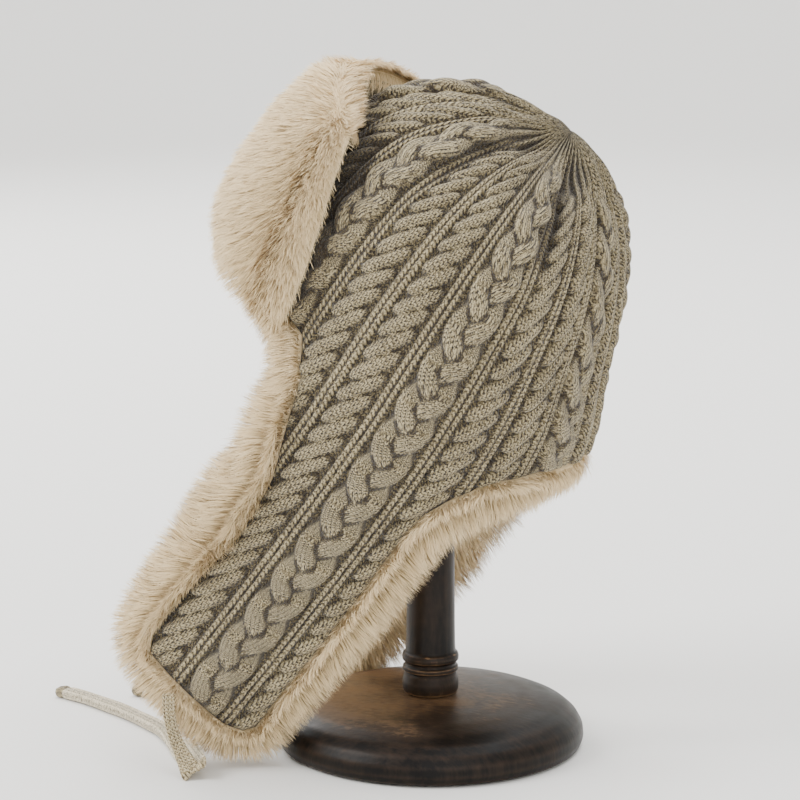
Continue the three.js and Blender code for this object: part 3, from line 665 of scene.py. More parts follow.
def hair_ribbons(name, roots, start, finish, facing, length, width, tone, material, random):
    """Tapered ribbons in one mesh. A hair's centre line is root + L (a t + (b - a) t^2 / 2) for its
    start and finish directions; it is widest in its middle, closes to a point and is rolled about
    its line at random. The uv is each hair's own tone and t. A hair that would reach the floor is
    cut short above it."""
    drop = np.maximum(-(start + finish)[:, 2] / 2, 1e-6)
    length = np.minimum(length, np.maximum(roots[:, 2] - FLOOR_ROOM * MM, 0) / drop)
    t = np.array([0, 0.4, 0.75, 1.0])
    wide = np.array([0.75, 1.0, 0.7, 0.0])
    bend = start[:, None] * t[None, :, None] + (finish - start)[:, None] * (t * t / 2)[None, :, None]
    centre = roots[:, None] + bend * length[:, None, None]
    rolled = facing + random.normal(0, 0.42, facing.shape)
    across = unit(np.cross(finish + start, rolled))
    own = unit(np.cross(across, finish + start))
    half = (width / 2)[:, None, None] * wide[None, :, None] * across[:, None]
    left = centre - half
    right = centre + half
    points = np.concatenate([left[:, :3], right[:, :3], centre[:, 3:]], 1)
    count = len(roots)
    base = np.arange(count)[:, None] * 7
    quads = np.concatenate([base + [0, 3, 4, 1], base + [1, 4, 5, 2]])
    tips = base + [2, 5, 6]
    at = np.concatenate([t[:3], t[:3], t[3:]])
    place = np.stack([np.repeat(tone, 7), np.tile(at, count)], -1)
    uv = np.concatenate([place[quads.ravel()], place[tips.ravel()]])
    piece = make_piece(name, points.reshape(-1, 3), [quads, tips], material, uv)
    # The pile is shaded mostly as the soft surface that it makes, and partly as single locks.
    soft = np.repeat(unit(facing + 0.35 * finish + 0.6 * own), 7, axis=0)
    piece.data.normals_split_custom_set_from_vertices(soft.tolist())
    return piece


def clump(roots, cells, finish, length, pull, spread, random):
    """Turns the finish of each hair towards the middle of its lock and by the lock's own lean."""
    _, group = np.unique(cells, return_inverse=True)
    group = group.ravel()
    count = np.bincount(group)
    middle = np.stack([np.bincount(group, roots[:, k]) / count for k in range(3)], -1)
    lean = random.normal(0, spread, (len(count), 3))
    return unit(finish + (middle[group] - roots) / length[:, None] * pull + lean[group])


def grow_pile(name, plush, roots, start, finish, facing, length, cells, style, tone, random):
    """Gathers hairs into the locks that their cells name, strays each one, gives it its width and
    tone and makes the ribbons."""
    finish = clump(roots, cells, finish, length, style["pull"], style["lean"], random)
    if style["stray"]:
        finish = unit(finish + random.normal(0, style["stray"], finish.shape))
    width = plush.pile_width * random.uniform(*style["widths"], len(roots))
    tone = random.normal(0, style["mottle"], len(roots)) + tone
    _, pile = plush_materials(plush)
    piece = hair_ribbons(name, roots, start, finish, facing, length, width, tone, pile, random)
    dress(piece, "plush")


def route_curve(points, samples):
    """Centripetal Catmull-Rom through the points as cubic Hermite pieces, with the unit tangent
    and the place of each sample on the list."""
    p = points[:, :3]
    step = np.linalg.norm(np.diff(p, axis=0), axis=1) ** 0.5
    knots = np.concatenate([[0], np.cumsum(step)])
    slope = np.diff(p, axis=0) / step[:, None]
    both = (p[2:] - p[:-2]) / (knots[2:] - knots[:-2])[:, None]
    tangent = np.vstack([slope[:1], slope[:-1] + slope[1:] - both, slope[-1:]])
    place = np.linspace(0, len(p) - 1, samples)
    k = np.minimum(place.astype(int), len(p) - 2)
    f = (place - k)[:, None]
    h = step[k][:, None]
    curve = ((1 + 2 * f) * (1 - f) ** 2 * p[k] + f * (1 - f) ** 2 * h * tangent[k]
             + f * f * (3 - 2 * f) * p[k + 1] + f * f * (f - 1) * h * tangent[k + 1])
    return curve, unit(np.gradient(curve, axis=0)), place


def linear(hex_colour):
    """Linear RGBA of an sRGB hex value."""
    value = np.array([int(hex_colour[i:i + 2], 16) for i in (1, 3, 5)]) / 255
    lin = np.where(value <= 0.04045, value / 12.92, ((value + 0.055) / 1.055) ** 2.4)
    return (*lin.tolist(), 1.0)


def fill_sockets(node, sockets):
    """Gives input sockets of a node their values, or links them to outputs of other nodes; a node
    as a source stands for its first output."""
    for socket, source in sockets.items():
        if isinstance(source, bpy.types.Node):
            source = source.outputs[0]
        if isinstance(source, bpy.types.NodeSocket):
            node.id_data.links.new(source, node.inputs[socket])
        else:
            node.inputs[socket].default_value = source


def add_node(tree, kind, sockets=(), **settings):
    """Adds a shader node with its settings and links; sockets go by name, or in order."""
    made = tree.nodes.new("ShaderNode" + kind)
    for key, value in settings.items():
        setattr(made, key, value)
    fill_sockets(made, sockets if isinstance(sockets, dict) else dict(enumerate(sockets)))
    return made


def start_material(name, roughness, ior=1.5):
    """New node material, what adds its nodes, and its Principled shader."""
    material = bpy.data.materials.new(name)
    material.use_nodes = True
    shader = material.node_tree.nodes["Principled BSDF"]
    fill_sockets(shader, {"Roughness": roughness, "IOR": ior, "Metallic": 0.0})
    return material, partial(add_node, material.node_tree), shader


def set_ramp(ramp, stops):
    """Fills a colour ramp from place and hex pairs."""
    elements = ramp.color_ramp.elements
    while len(elements) < len(stops):
        elements.new(0.5)
    for element, (place, colour) in zip(elements, stops):
        element.position = place
        element.color = linear(colour)


def knit_yarn(name, dark, middle, light, stitch_width, stitch_row, depth_mm, cabled=False):
    """Worsted acrylic and wool yarn in stocking stitch: matt, heathered, with a soft pile. Each
    column is two legs that part along its middle and slant down from it, with a painted highlight on
    the yarn and painted shade in the pit between two columns, deepest between two rows. Noise jostles
    the stitches by parts of a millimetre, as hand-tensioned yarn is. Where the piece carries a lit
    share, painted shade darkens the yarn where that share is low, as at a strand's side."""
    material, node, shader = start_material(name, 0.92)
    place = node("TexCoord").outputs["Object"]
    split = node("SeparateXYZ", (node("UVMap", uv_map="pattern"),))
    # Grains to a millimetre of the jostle, the heather, its slow drift and the fuzz.
    jostle, heather, drift, fuzz = (
        node("TexNoise", {"Vector": place, "Scale": grains / MM, "Detail": detail})
        for grains, detail in ((0.6, 2.0), (1.3, 3.0), (0.045, 2.0), (2.2, 2.0)))
    part = {"u": split.outputs["X"], "v": split.outputs["Y"], "jostle": jostle, "heather": heather,
            "drift": drift, "fuzz": fuzz}
    # Each row names a value, the operation and its terms, which are numbers or values above.
    for made, operation, *terms in (
            ("uneven", "SUBTRACT", "jostle", 0.5),
            ("across", "MULTIPLY_ADD", "uneven", JOSTLE_ACROSS, "u"),
            ("down", "MULTIPLY_ADD", "uneven", JOSTLE_DOWN, "v"),
            ("column", "DIVIDE", "across", stitch_width),
            ("share", "FRACT", "column"),
            ("aside", "SUBTRACT", "share", 0.5),
            ("distance", "ABSOLUTE", "aside"),
            ("from_middle", "MULTIPLY", "distance", 2.0),
            ("to_border", "SUBTRACT", 1.0, "from_middle"),
            ("middle_line", "POWER", "to_border", 4.0),
            ("border_line", "POWER", "from_middle", 2.2),
            ("valley", "MULTIPLY_ADD", "middle_line", 0.6, "border_line"),
            ("row", "DIVIDE", "down", stitch_row),
            ("slanted", "MULTIPLY_ADD", "from_middle", -0.7, "row"),
            ("turn", "MULTIPLY", "slanted", 2 * math.pi),
            ("sine", "SINE", "turn"),
            ("wave", "MULTIPLY_ADD", "sine", 0.5, 0.5),
            ("between", "MULTIPLY", "wave", "wave"),
            ("deep", "MULTIPLY_ADD", "between", 0.75, 0.25),
            # The pits take painted shade, and the yarn's body a painted highlight through the ramp.
            ("pit", "MULTIPLY", "valley", "deep"),
            ("whole_pit", "MULTIPLY_ADD", "between", 0.25, "pit"),
            ("body", "SUBTRACT", 1.0, "whole_pit"),
            ("lit", "MULTIPLY_ADD", "body", 1.15, -1.0),
            ("heathered", "MULTIPLY_ADD", "heather", 1.3, "lit"),
            ("shift", "SUBTRACT", "drift", 0.5),
            ("tone", "MULTIPLY_ADD", "shift", 0.3, "heathered"),
            ("level", "MULTIPLY_ADD", "fuzz", 0.35, "body")):
        part[made] = node("Math", [part.get(term, term) for term in terms], operation=operation)
    tone = part["tone"]
    if cabled:
        # Painted shade from the piece's lit share.
        core = node("Attribute", attribute_name="core").outputs["Fac"]
        shaded = node("MapRange", (core, 0.0, 0.52, -0.78, 0.0))
        tone = node("Math", (tone, shaded), operation="ADD")
    ramp = node("ValToRGB", (tone,))
    set_ramp(ramp, [(0.02, dark), (0.45, middle), (0.85, light)])
    bump = node("Bump", {"Strength": 1.0, "Distance": depth_mm * MM, "Height": part["level"]})
    fill_sockets(shader, {"Base Color": ramp, "Normal": bump, "Sheen Weight": 0.2,
                          "Sheen Roughness": 0.5})
    return material


def plush_hair(name, root, middle, tip):
    """Polyester plush pile: fine matt fibres, pale at the tip and browner at the root, partly the fibres' own
    colour where they part and partly painted shade deep in the pile.
    """
    material, node, shader = start_material(name, 0.75)
    split = node("SeparateXYZ", (node("UVMap", uv_map="pattern"),))
    along = node("Math", (split.outputs["Y"], 0.85, split.outputs["X"]), operation="MULTIPLY_ADD")
    ramp = node("ValToRGB", (along,))
    set_ramp(ramp, [(0.05, root), (0.42, middle), (0.95, tip)])
    fill_sockets(shader, {"Base Color": ramp, "Sheen Weight": 0.08, "Specular IOR Level": 0.2})
    return material


def plush_ground(name, low, high):
    """Ground of the polyester plush under its pile: short matt fibres in tufts about 4 mm wide."""
    material, node, shader = start_material(name, 0.95)
    place = node("TexCoord").outputs["Object"]
    locks = node("TexNoise", {"Vector": place, "Scale": 0.26 / MM, "Detail": 4.0, "Roughness": 0.7})
    ramp = node("ValToRGB", (locks,))
    set_ramp(ramp, [(0.3, low), (0.7, high)])
    bump = node("Bump", {"Strength": 0.8, "Distance": 2 * MM, "Height": locks})
    fill_sockets(shader, {"Base Color": ramp, "Normal": bump})
    return material


def dark_wood(name, dark, sheen_brown, worn):
    """Stained beech, turned and waxed, with grain streaks 2 to 6 mm apart and a satin gloss: near black
    low on the base, brown on its shoulder as a painted sheen that reaches lower on the lit -Y side,
    lighter on its high edges with rubbed wear and a painted highlight, and dark again on the post."""
    material, node, shader = start_material(name, 0.45, 1.45)
    place = node("TexCoord").outputs["Object"]
    split = node("SeparateXYZ", (place,))
    # Height for the painted sheen, raised on the lit -Y side.
    shoulder = node("Math", (split.outputs["Y"], -0.05, split.outputs["Z"]), operation="MULTIPLY_ADD")
    grain_place = node("Mapping", {"Vector": place, "Scale": (1.0, 0.35, 0.07)})
    grain = node("TexNoise", {"Vector": grain_place, "Scale": 0.48 / MM, "Detail": 5.0,
                              "Roughness": 0.7, "Distortion": 0.4})
    patches = node("TexNoise", {"Vector": place, "Scale": 0.026 / MM, "Detail": 6.0,
                                "Roughness": 0.65})
    edge = node("NewGeometry").outputs["Pointiness"]
    # Each source with the range it is read over and the range that this is turned to. The first paints
    # sheen on the base's top, lower on the lit -Y side and darker low down; the second stops that sheen
    # at the post; the third lightens the high edges with rubbed wear and a painted highlight.
    painted_sheen, darkened, wear_and_glint, gloss = (node("MapRange", row) for row in (
        (shoulder, 22 * MM, 29 * MM, -0.12, 0.32),
        (split.outputs["Z"], 30 * MM, 33 * MM, 0.0, -0.31),
        (edge, 0.5, 0.55, 0.0, 0.7),
        (patches, 0.3, 0.7, 0.32, 0.5)))
    total = painted_sheen
    for source, weight in ((patches, 0.7), (darkened, 1.0), (grain, 0.5), (wear_and_glint, 1.0)):
        total = node("Math", (source, weight, total), operation="MULTIPLY_ADD")
    ramp = node("ValToRGB", (total,))
    set_ramp(ramp, [(0.5, dark), (0.8, sheen_brown), (1.0, worn)])
    bump = node("Bump", {"Strength": 0.35, "Distance": 0.4 * MM, "Height": grain})
    fill_sockets(shader, {"Base Color": ramp, "Normal": bump, "Roughness": gloss,
                          "Specular IOR Level": 0.2})
    return material


def studio_paper(name, colour):
    """Matt seamless paper for the floor and backdrop, with a fine tooth."""
    material, node, shader = start_material(name, 0.9, 1.45)
    place = node("TexCoord").outputs["Object"]
    tooth = node("TexNoise", {"Vector": place, "Scale": 0.9 / MM})
    bump = node("Bump", {"Strength": 0.1, "Distance": 0.1 * MM, "Height": tooth})
    fill_sockets(shader, {"Base Color": linear(colour), "Normal": bump})
    return material


def material_named(name, make, *values):
    """The material of that name, made the first time it is asked for."""
    return bpy.data.materials.get(name) or make(name, *values)


def shell_yarn(knit, name, stitch_width, stitch_row, depth_mm, cabled=False):
    """The shell's heathered yarn, knitted with stitches of that size in millimetres."""
    shades = (to_hex(colour) for colour in (knit.dark, knit.middle, knit.light))
    return material_named(name, knit_yarn, *shades, stitch_width, stitch_row, depth_mm, cabled)


def plush_materials(colours):
    """Ground and hair of the plush in the user's colours."""
    root, middle, tip = (to_hex(c) for c in (colours.root, colours.middle, colours.tip))
    ground = material_named("polyester_plush_ground", plush_ground, middle, tip)
    hair = material_named("polyester_plush_pile", plush_hair, root, middle, tip)
    return ground, hair


def to_hex(colour):
    """Hex value of a colour property, which Blender keeps in sRGB values here."""
    return "#" + "".join(f"{round(c * 255):02X}" for c in colour[:3])


def from_hex(value):
    """Colour property default from a hex value."""
    return tuple(int(value[i:i + 2], 16) / 255 for i in (1, 3, 5))


def dress(piece, slot, *nodes):
    """Rides the piece on the frame and stands it for its CAD nodes; the slot is not used."""
    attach(piece, "root")
    if nodes:
        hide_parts(*nodes)


def lining_depth(v):
    """Thickness of the lining's ground: thinner at the pole and thicker in the flaps."""
    full = mix(CROWN_LINING, FLAP_LINING, smooth(6, 8, v)) * mix(0.8, 1, smooth(0, 2, v))
    return full - PILE_DEPTH


def roll_surface(place, p, n, out):
    """Ground of the plush roll in the hat's frame: eight points across it for each point of the
    hem, from under the knit's edge over the swell to the inside, by reach outwards and by height
    over the cloth."""
    reach = ROLL_GROUND_SHARE * np.interp(place, ROLL_PLACE, ROLL_REACH) + ROLL_SINK
    swell = np.interp(place, ROLL_PLACE, ROLL_SWELL) - ROLL_SINK
    zero = np.zeros_like(reach)
    along = np.stack([zero + 0.8, zero + 1.1, 0.3 * reach, 0.62 * reach, 0.9 * reach, reach,
                      0.93 * reach, 0.62 * reach], -1)
    lift = np.stack([zero - 4.6, zero - 1.2, swell, 0.9 * swell - 0.4,
                     0.4 * swell - 3, zero - 6, zero - 10, zero - 14], -1)
    return p[:, None] + out[:, None] * along[..., None] + n[:, None] * lift[..., None]


def roll_frame(step=4):
    """Hem loop with its cloth points, normals, outward directions and places on the roll."""
    angle, v, crown, flaps = sheet_places(step)
    loop, place = hem_loop(crown, flaps, step)
    p = cloth_point(angle[loop], v[loop])
    n = cloth_normal(angle[loop], v[loop])
    out = np.roll(p, -1, axis=0) - np.roll(p, 1, axis=0)
    out = unit(np.cross(out, n))
    for _ in range(3):
        out = unit(np.roll(out, 1, axis=0) + 2 * out + np.roll(out, -1, axis=0))
    return angle, v, crown, flaps, loop, place, p, n, out


def colour_prop(name, description, value):
    """Colour property held as sRGB values."""
    return bpy.props.FloatVectorProperty(
        name=name, description=description, subtype="COLOR_GAMMA", size=3, min=0, max=1,
        default=from_hex(value))


def length_prop(name, description, value_mm, low=0.0):
    """Length property in metres."""
    return bpy.props.FloatProperty(
        name=name, description=description, default=value_mm * MM, min=low, subtype="DISTANCE",
        unit="LENGTH")


class HatKnitSettings(bpy.types.PropertyGroup):
    """Yarn of the knitted shell and the ties."""
    stitch_width: length_prop("Stitch width", "Width of one column of stitches", 2.2)
    stitch_row: length_prop("Stitch row", "Height of one row of stitches", 2.6)
    dark: colour_prop("Yarn shadow", "Gaps between the stitches", "#2E2416")
    middle: colour_prop("Yarn", "Heathered yarn", "#7B6E50")
    light: colour_prop("Yarn highlight", "Top of the yarn", "#BBAD88")
    tie: colour_prop("Tie", "Cream tie", "#DACDB0")


class HatPlushSettings(bpy.types.PropertyGroup):
    """Pile of the plush."""
    pile_width: length_prop("Pile width", "Width of one drawn lock of fibres, coarser than a fibre", 0.34)
    trim_hairs: bpy.props.IntProperty(name="Trim locks", description="Locks on each half of the trim",
                                      default=38500, min=100)
    visor_hairs: bpy.props.IntProperty(name="Visor locks", description="Locks on the visor",
                                       default=39000, min=100)
    inside_hairs: bpy.props.IntProperty(name="Lining locks", description="Locks inside the flaps",
                                        default=17500, min=100)
    # Root colour: the parting's own colour, and painted shade deep in the pile.
    root: colour_prop("Root", "Parting of the pile", "#9A7E5A")
    middle: colour_prop("Pile", "Body of the pile", "#DEC495")
    tip: colour_prop("Tip", "Tips of the pile", "#F5DDB2")


class HatStandSettings(bpy.types.PropertyGroup):
    """Wood of the stand."""
    sides: bpy.props.IntProperty(name="Sides", description="Facets round a turned part", default=128, min=12)
    dark: colour_prop("Stain", "Stained wood", "#070504")
    # Brown of the painted sheen on the base's shoulder.
    sheen_brown: colour_prop("Brown", "Thin stain from the shoulder up", "#2C2118")
    # Rubbed wear on the high edges, with a painted highlight.
    worn: colour_prop("Worn wood", "Rubbed edges", "#675039")


class HatStageSettings(bpy.types.PropertyGroup):
    """Floor, backdrop, light and camera."""
    paper: colour_prop("Paper", "Floor and backdrop", "#ECEBE8")
    distance: length_prop("Camera distance", "From the camera to the hat", 1700.0)
    azimuth: bpy.props.FloatProperty(name="Azimuth", description="Camera angle from +X towards +Y",
                                     default=math.radians(18), subtype="ANGLE", unit="ROTATION")
    elevation: bpy.props.FloatProperty(name="Elevation", description="Camera angle over the floor",
                                       default=math.radians(11), subtype="ANGLE", unit="ROTATION")
    lens: bpy.props.FloatProperty(name="Lens", description="Focal length in mm", default=136.6, min=10)


def aimed(back, side, place):
    """Matrix that sets a camera or lamp at a place, with its back and its side that way."""
    matrix = np.eye(4)
    matrix[:3, 0] = side
    matrix[:3, 1] = np.cross(back, side)
    matrix[:3, 2] = back
    matrix[:3, 3] = place
    return mathutils.Matrix(matrix.tolist())


class HAT_OT_camera(bpy.types.Operator):
    """Sets the camera at the photograph's viewing angle"""
    bl_idname = "hat.camera"
    bl_label = "Camera"

    def execute(self, context):
        stage = context.scene.hat_stage
        a = stage.azimuth
        e = stage.elevation
        towards = np.array([math.cos(a) * math.cos(e), math.sin(a) * math.cos(e), math.sin(e)])
        right = np.array([-math.sin(a), math.cos(a), 0])
        pixel = PIXEL * MM
        sideways = right * (PHOTO_MIDDLE - FOOT_COLUMN) * pixel
        centre = sideways + UP * (FOOT_ROW - PHOTO_MIDDLE) * pixel / math.cos(e)
        data = bpy.data.cameras.new("photo_camera")
        data.lens = stage.lens
        data.sensor_width = 36
        data.clip_end = 100
        camera = bpy.data.objects.new("photo_camera", data)
        context.collection.objects.link(camera)
        camera.matrix_world = aimed(towards, right, centre + towards * stage.distance)
        context.scene.camera = camera
        return {"FINISHED"}


class HAT_OT_stage(bpy.types.Operator):
    """Lays the pale floor with its curved surround and hangs the soft lights"""
    bl_idname = "hat.stage"
    bl_label = "Stage"

    def execute(self, context):
        stage = context.scene.hat_stage
        paper = material_named("matt_seamless_paper", studio_paper, to_hex(stage.paper))
        # A dish turned about the upright axis: flat, then a quarter circle, then a wall.
        bend = np.linspace(0, np.pi / 2, 17)
        radius = np.concatenate([[1.0, 2.2], FLOOR_RADIUS + FLOOR_BEND * np.sin(bend),
                                 [FLOOR_RADIUS + FLOOR_BEND]])
        height = np.concatenate([[0.0, 0.0], FLOOR_BEND - FLOOR_BEND * np.cos(bend), [WALL_TOP]])
        turn = np.linspace(0, 2 * np.pi, FLOOR_SIDES + 1)[:-1]
        points = np.stack([radius[:, None] * np.cos(turn), radius[:, None] * np.sin(turn),
                           np.broadcast_to(height[:, None], (len(radius), FLOOR_SIDES))], -1)
        points = np.vstack([[[0, 0, 0]], points.reshape(-1, 3)])
        index = 1 + np.arange(len(radius) * FLOOR_SIDES).reshape(-1, FLOOR_SIDES)
        index = np.hstack([index, index[:, :1]])
        fan = np.stack([np.zeros(FLOOR_SIDES, int), index[0, :-1], index[0, 1:]], -1)
        floor = make_piece("studio_floor", points, [grid_faces(index), fan], paper)
        hat = (0.0, 0.0, 0.22)
        lights = (
            ("key_light", (1.3, -1.9, 1.9), hat, 1.5, 80.0),
            ("fill_light", (1.9, 1.3, 1.2), hat, 2.0, 22.0),
            ("top_light", (-0.4, 0.3, 2.3), hat, 2.0, 52.0),
            ("rim_light", (-1.5, -1.8, 1.2), hat, 1.3, 32.0),
            ("backdrop_light", (-1.9, -0.6, 2.4), (-4.0, -1.3, 0.0), 2.4, 60.0),
        )
        for name, place, aim, size, power in lights:
            data = bpy.data.lights.new(name, "AREA")
            data.size = size
            data.energy = power
            lamp = bpy.data.objects.new(name, data)
            back = unit(np.array(place) - np.array(aim))
            lamp.matrix_world = aimed(back, unit(np.cross(UP, back)), place)
            context.collection.objects.link(lamp)
        world = bpy.data.worlds.new("studio_air")
        world.use_nodes = True
        sky = world.node_tree.nodes["Background"]
        sky.inputs["Color"].default_value = (1.0, 1.0, 1.0, 1.0)
        sky.inputs["Strength"].default_value = 1.0
        context.scene.world = world
        return {"FINISHED"}


class HAT_OT_ties(bpy.types.Operator):
    """Lays the two flat ribbed ties along their routes"""
    bl_idname = "hat.ties"
    bl_label = "Ties"

    def execute(self, context):
        knit = context.scene.hat_knit
        yarn = material_named("cotton_ribbed_tie", knit_yarn, TIE_SHADOW, to_hex(knit.tie),
                              TIE_HIGHLIGHT, 2.4, 1.2, 0.6)
        # Darker yarn on the hanging stretch of a tie.
        back = material_named("cotton_ribbed_tie_back", knit_yarn, *TIE_HANGING, 2.1, 2.2, 0.7)
        cuff = shell_yarn(knit, "wool_blend_tie_cuff", 1.6, 1.6, 0.6)
        # Section of a ribbed strip: x = w cos a |cos a|^-0.3 and y = t sin a |sin a|^-0.5, thinned
        # by half between its ribs.
        around = np.linspace(0, 2 * np.pi, TIE_SIDES + 1)[:-1]
        x = np.sign(np.cos(around)) * np.abs(np.cos(around)) ** 0.7
        y = np.sign(np.sin(around)) * np.abs(np.sin(around)) ** 0.5
        rib = 0.74 + 0.26 * np.cos(np.pi * TIE_RIBS * x)
        for name, route in (("tie_left", LEFT_TIE), ("tie_right", RIGHT_TIE)):
            curve, along, place = route_curve(route, TIE_SAMPLES)
            k = np.minimum(place.astype(int), len(route) - 2)
            f = (place - k)[:, None]
            wide = mix(route[k, 3:6], route[k + 1, 3:6], f)
            wide = unit(wide - along * np.sum(wide * along, 1, keepdims=True))
            width, thick = mix(route[k, 6:], route[k + 1, 6:], f).T
            # The strip hangs drawn in, spreads where it folds and narrows again where it lies.
            width = width * mix(0.78, 1.25, smooth(3, 6, place)) * mix(1, 0.84, smooth(9, 11, place))
            across = np.cross(along, wide)
            length = np.concatenate([[0], np.cumsum(np.linalg.norm(np.diff(curve, axis=0), axis=1))])
            # A pinch where the cuff is sewn on, an uneven edge and a rounded end.
            left = length[-1] - length
            pinch = 1 - 0.14 * np.exp(-((left - TIE_CUFF) / 1.3) ** 2) + 0.03 * np.sin(length / 7)
            pinch = pinch * np.sqrt(smooth(-1.5, 2.5, left))
            points = (curve[:, None] + wide[:, None] * x[None, :, None] * (pinch * width / 2)[:, None, None]
                      + across[:, None] * (y * rib)[None, :, None] * (pinch * thick / 2)[:, None, None])
            points = np.vstack([points.reshape(-1, 3), curve[:1], curve[-1:]])
            # Where it lies, the strip is pressed flat on the floor.
            points[:, 2] = np.maximum(points[:, 2], TIE_FLOOR)
            u = np.append(x, x[0])[None, :] * width[:, None] / 2
            v = np.broadcast_to(length[:, None], u.shape)
            quads = corners(np.stack([u, v], -1)).reshape(-1, 4, 2)[:, ::-1]
            faces = tube_faces(TIE_SAMPLES, TIE_SIDES)
            uv = np.vstack([quads.reshape(-1, 2), np.zeros((faces[1].size, 2))])
            piece = make_piece(name + "_strip", points * MM, faces, yarn, uv)
            piece.data.materials.append(cuff)
            piece.data.materials.append(back)
            slot = np.where(left[1:] < TIE_CUFF, 1, np.where(place[1:] < TIE_HANGING_END, 2, 0))
            slots = np.repeat(np.append(slot, [2, 1]), TIE_SIDES)
            piece.data.polygons.foreach_set("material_index", slots.astype(np.int32))
            dress(piece, "tie_knit", name)
        return {"FINISHED"}


class HAT_OT_knit(bpy.types.Operator):
    """Knits the cabled shell with its ear flaps"""
    bl_idname = "hat.knit"
    bl_label = "Knitted shell"

    def execute(self, context):
        knit = context.scene.hat_knit
        yarn = shell_yarn(knit, "wool_blend_cable_knit", knit.stitch_width / MM,
                          knit.stitch_row / MM, 1.0, True)
        angle, v, crown, flaps = sheet_places(1)
        edge = edge_shares(crown, flaps, len(angle))
        height, core = knit_height(angle, v, edge)
        outside = on_stand(offset_point(angle, v, height))
        inner_angle, inner_v, inner_crown, inner_flaps = sheet_places(4)
        inside = on_stand(offset_point(inner_angle, inner_v, np.full(inner_v.shape, KNIT_INSIDE)))
        start = len(outside)
        loop, _ = hem_loop(crown, flaps, 1)
        inner_loop, _ = hem_loop(inner_crown, inner_flaps, 4)
        strip = fourfold_strip(loop, inner_loop + start)

        def pattern(index, wale):
            """Stitch pattern at the corners of each face, read along the strand at its middle."""
            corner_wale = corners(wale)
            corner_ring = corners(v[index])
            middle_wale = corner_wale.mean(-1, keepdims=True)
            middle_ring = corner_ring.mean(-1, keepdims=True)
            repeat, x, s = knit_place(None, middle_ring, middle_wale)
            _, kind, number, _ = cable_relief(x, s)
            _, _, corner_s = knit_place(None, corner_ring, middle_wale)
            corner_x = ((corner_wale - PLAIT_START) / REPEAT_ANGLE - repeat) * REPEAT_WIDTH
            across, along = strand_place(corner_x, corner_s, kind, number)
            return np.stack([across, along], -1).reshape(-1, 2)

        closed = np.hstack([crown, crown[:, :1]])
        wale = np.broadcast_to(PLAIT_START + np.arange(SHEET_COLUMNS + 1) * 360 / SHEET_COLUMNS, closed.shape)
        faces = [grid_faces(closed[1:])]
        uv = [pattern(closed[1:], wale[1:])]
        for flap in flaps:
            flap_wale = wale_angle(angle[flap])
            flap_wale = np.where(flap_wale < 0, flap_wale + 360, flap_wale)
            faces.append(grid_faces(flap))
            uv.append(pattern(flap, flap_wale))
        inner_closed = np.hstack([inner_crown, inner_crown[:, :1]]) + start
        faces.append(grid_faces(inner_closed[1:], flip=True))
        faces.extend(grid_faces(flap + start, flip=True) for flap in inner_flaps)
        quads = np.concatenate(faces)
        triangles = np.concatenate([pole_fan(closed), pole_fan(inner_closed)[:, [0, 2, 1]], strip])
        rest = np.zeros((quads.size + triangles.size - sum(len(part) for part in uv), 2))
        points = np.vstack([outside, inside])
        piece = make_piece("knit_shell_cables", points, [quads, triangles], yarn, np.vstack(uv + [rest]))
        # The lit share that paints shade on the yarn; the inside face carries none.
        shade = piece.data.attributes.new("core", "FLOAT", "POINT")
        shade.data.foreach_set("value", np.concatenate([core, np.ones(len(inside))]).astype(np.float32))
        dress(piece, "wool_knit", "knit_shell")
        return {"FINISHED"}


class HAT_OT_lining(bpy.types.Operator):
    """Makes the plush lining with the roll that comes out round the hem"""
    bl_idname = "hat.lining"
    bl_label = "Plush lining"

    def execute(self, context):
        ground, _ = plush_materials(context.scene.hat_plush)
        angle, v, crown, flaps, loop, place, p, n, out = roll_frame()
        outside = offset_point(angle, v, np.full(v.shape, LINING_OUTSIDE))
        inside = offset_point(angle, v, LINING_OUTSIDE - lining_depth(v))
        count = len(outside)
        roll = roll_surface(place, p, n, out)
        points = np.vstack([outside, inside, roll.reshape(-1, 3)])
        rows = 2 * count + np.arange(len(loop) * roll.shape[1]).reshape(len(loop), -1)
        band = np.hstack([loop[:, None], rows, loop[:, None] + count])
        band = np.vstack([band, band[:1]])
        closed = np.hstack([crown, crown[:, :1]])
        quads = [grid_faces(closed[1:]), grid_faces(closed[1:] + count, flip=True)]
        quads.extend(grid_faces(flap) for flap in flaps)
        quads.extend(grid_faces(flap + count, flip=True) for flap in flaps)
        quads.append(grid_faces(band, flip=True))
        fan = pole_fan(closed)
        piece = make_piece("plush_lining_ground", on_stand(points),
                           [np.concatenate(quads), np.concatenate([fan, fan[:, ::-1] + count])], ground)
        dress(piece, "plush", "fur_lining")
        return {"FINISHED"}


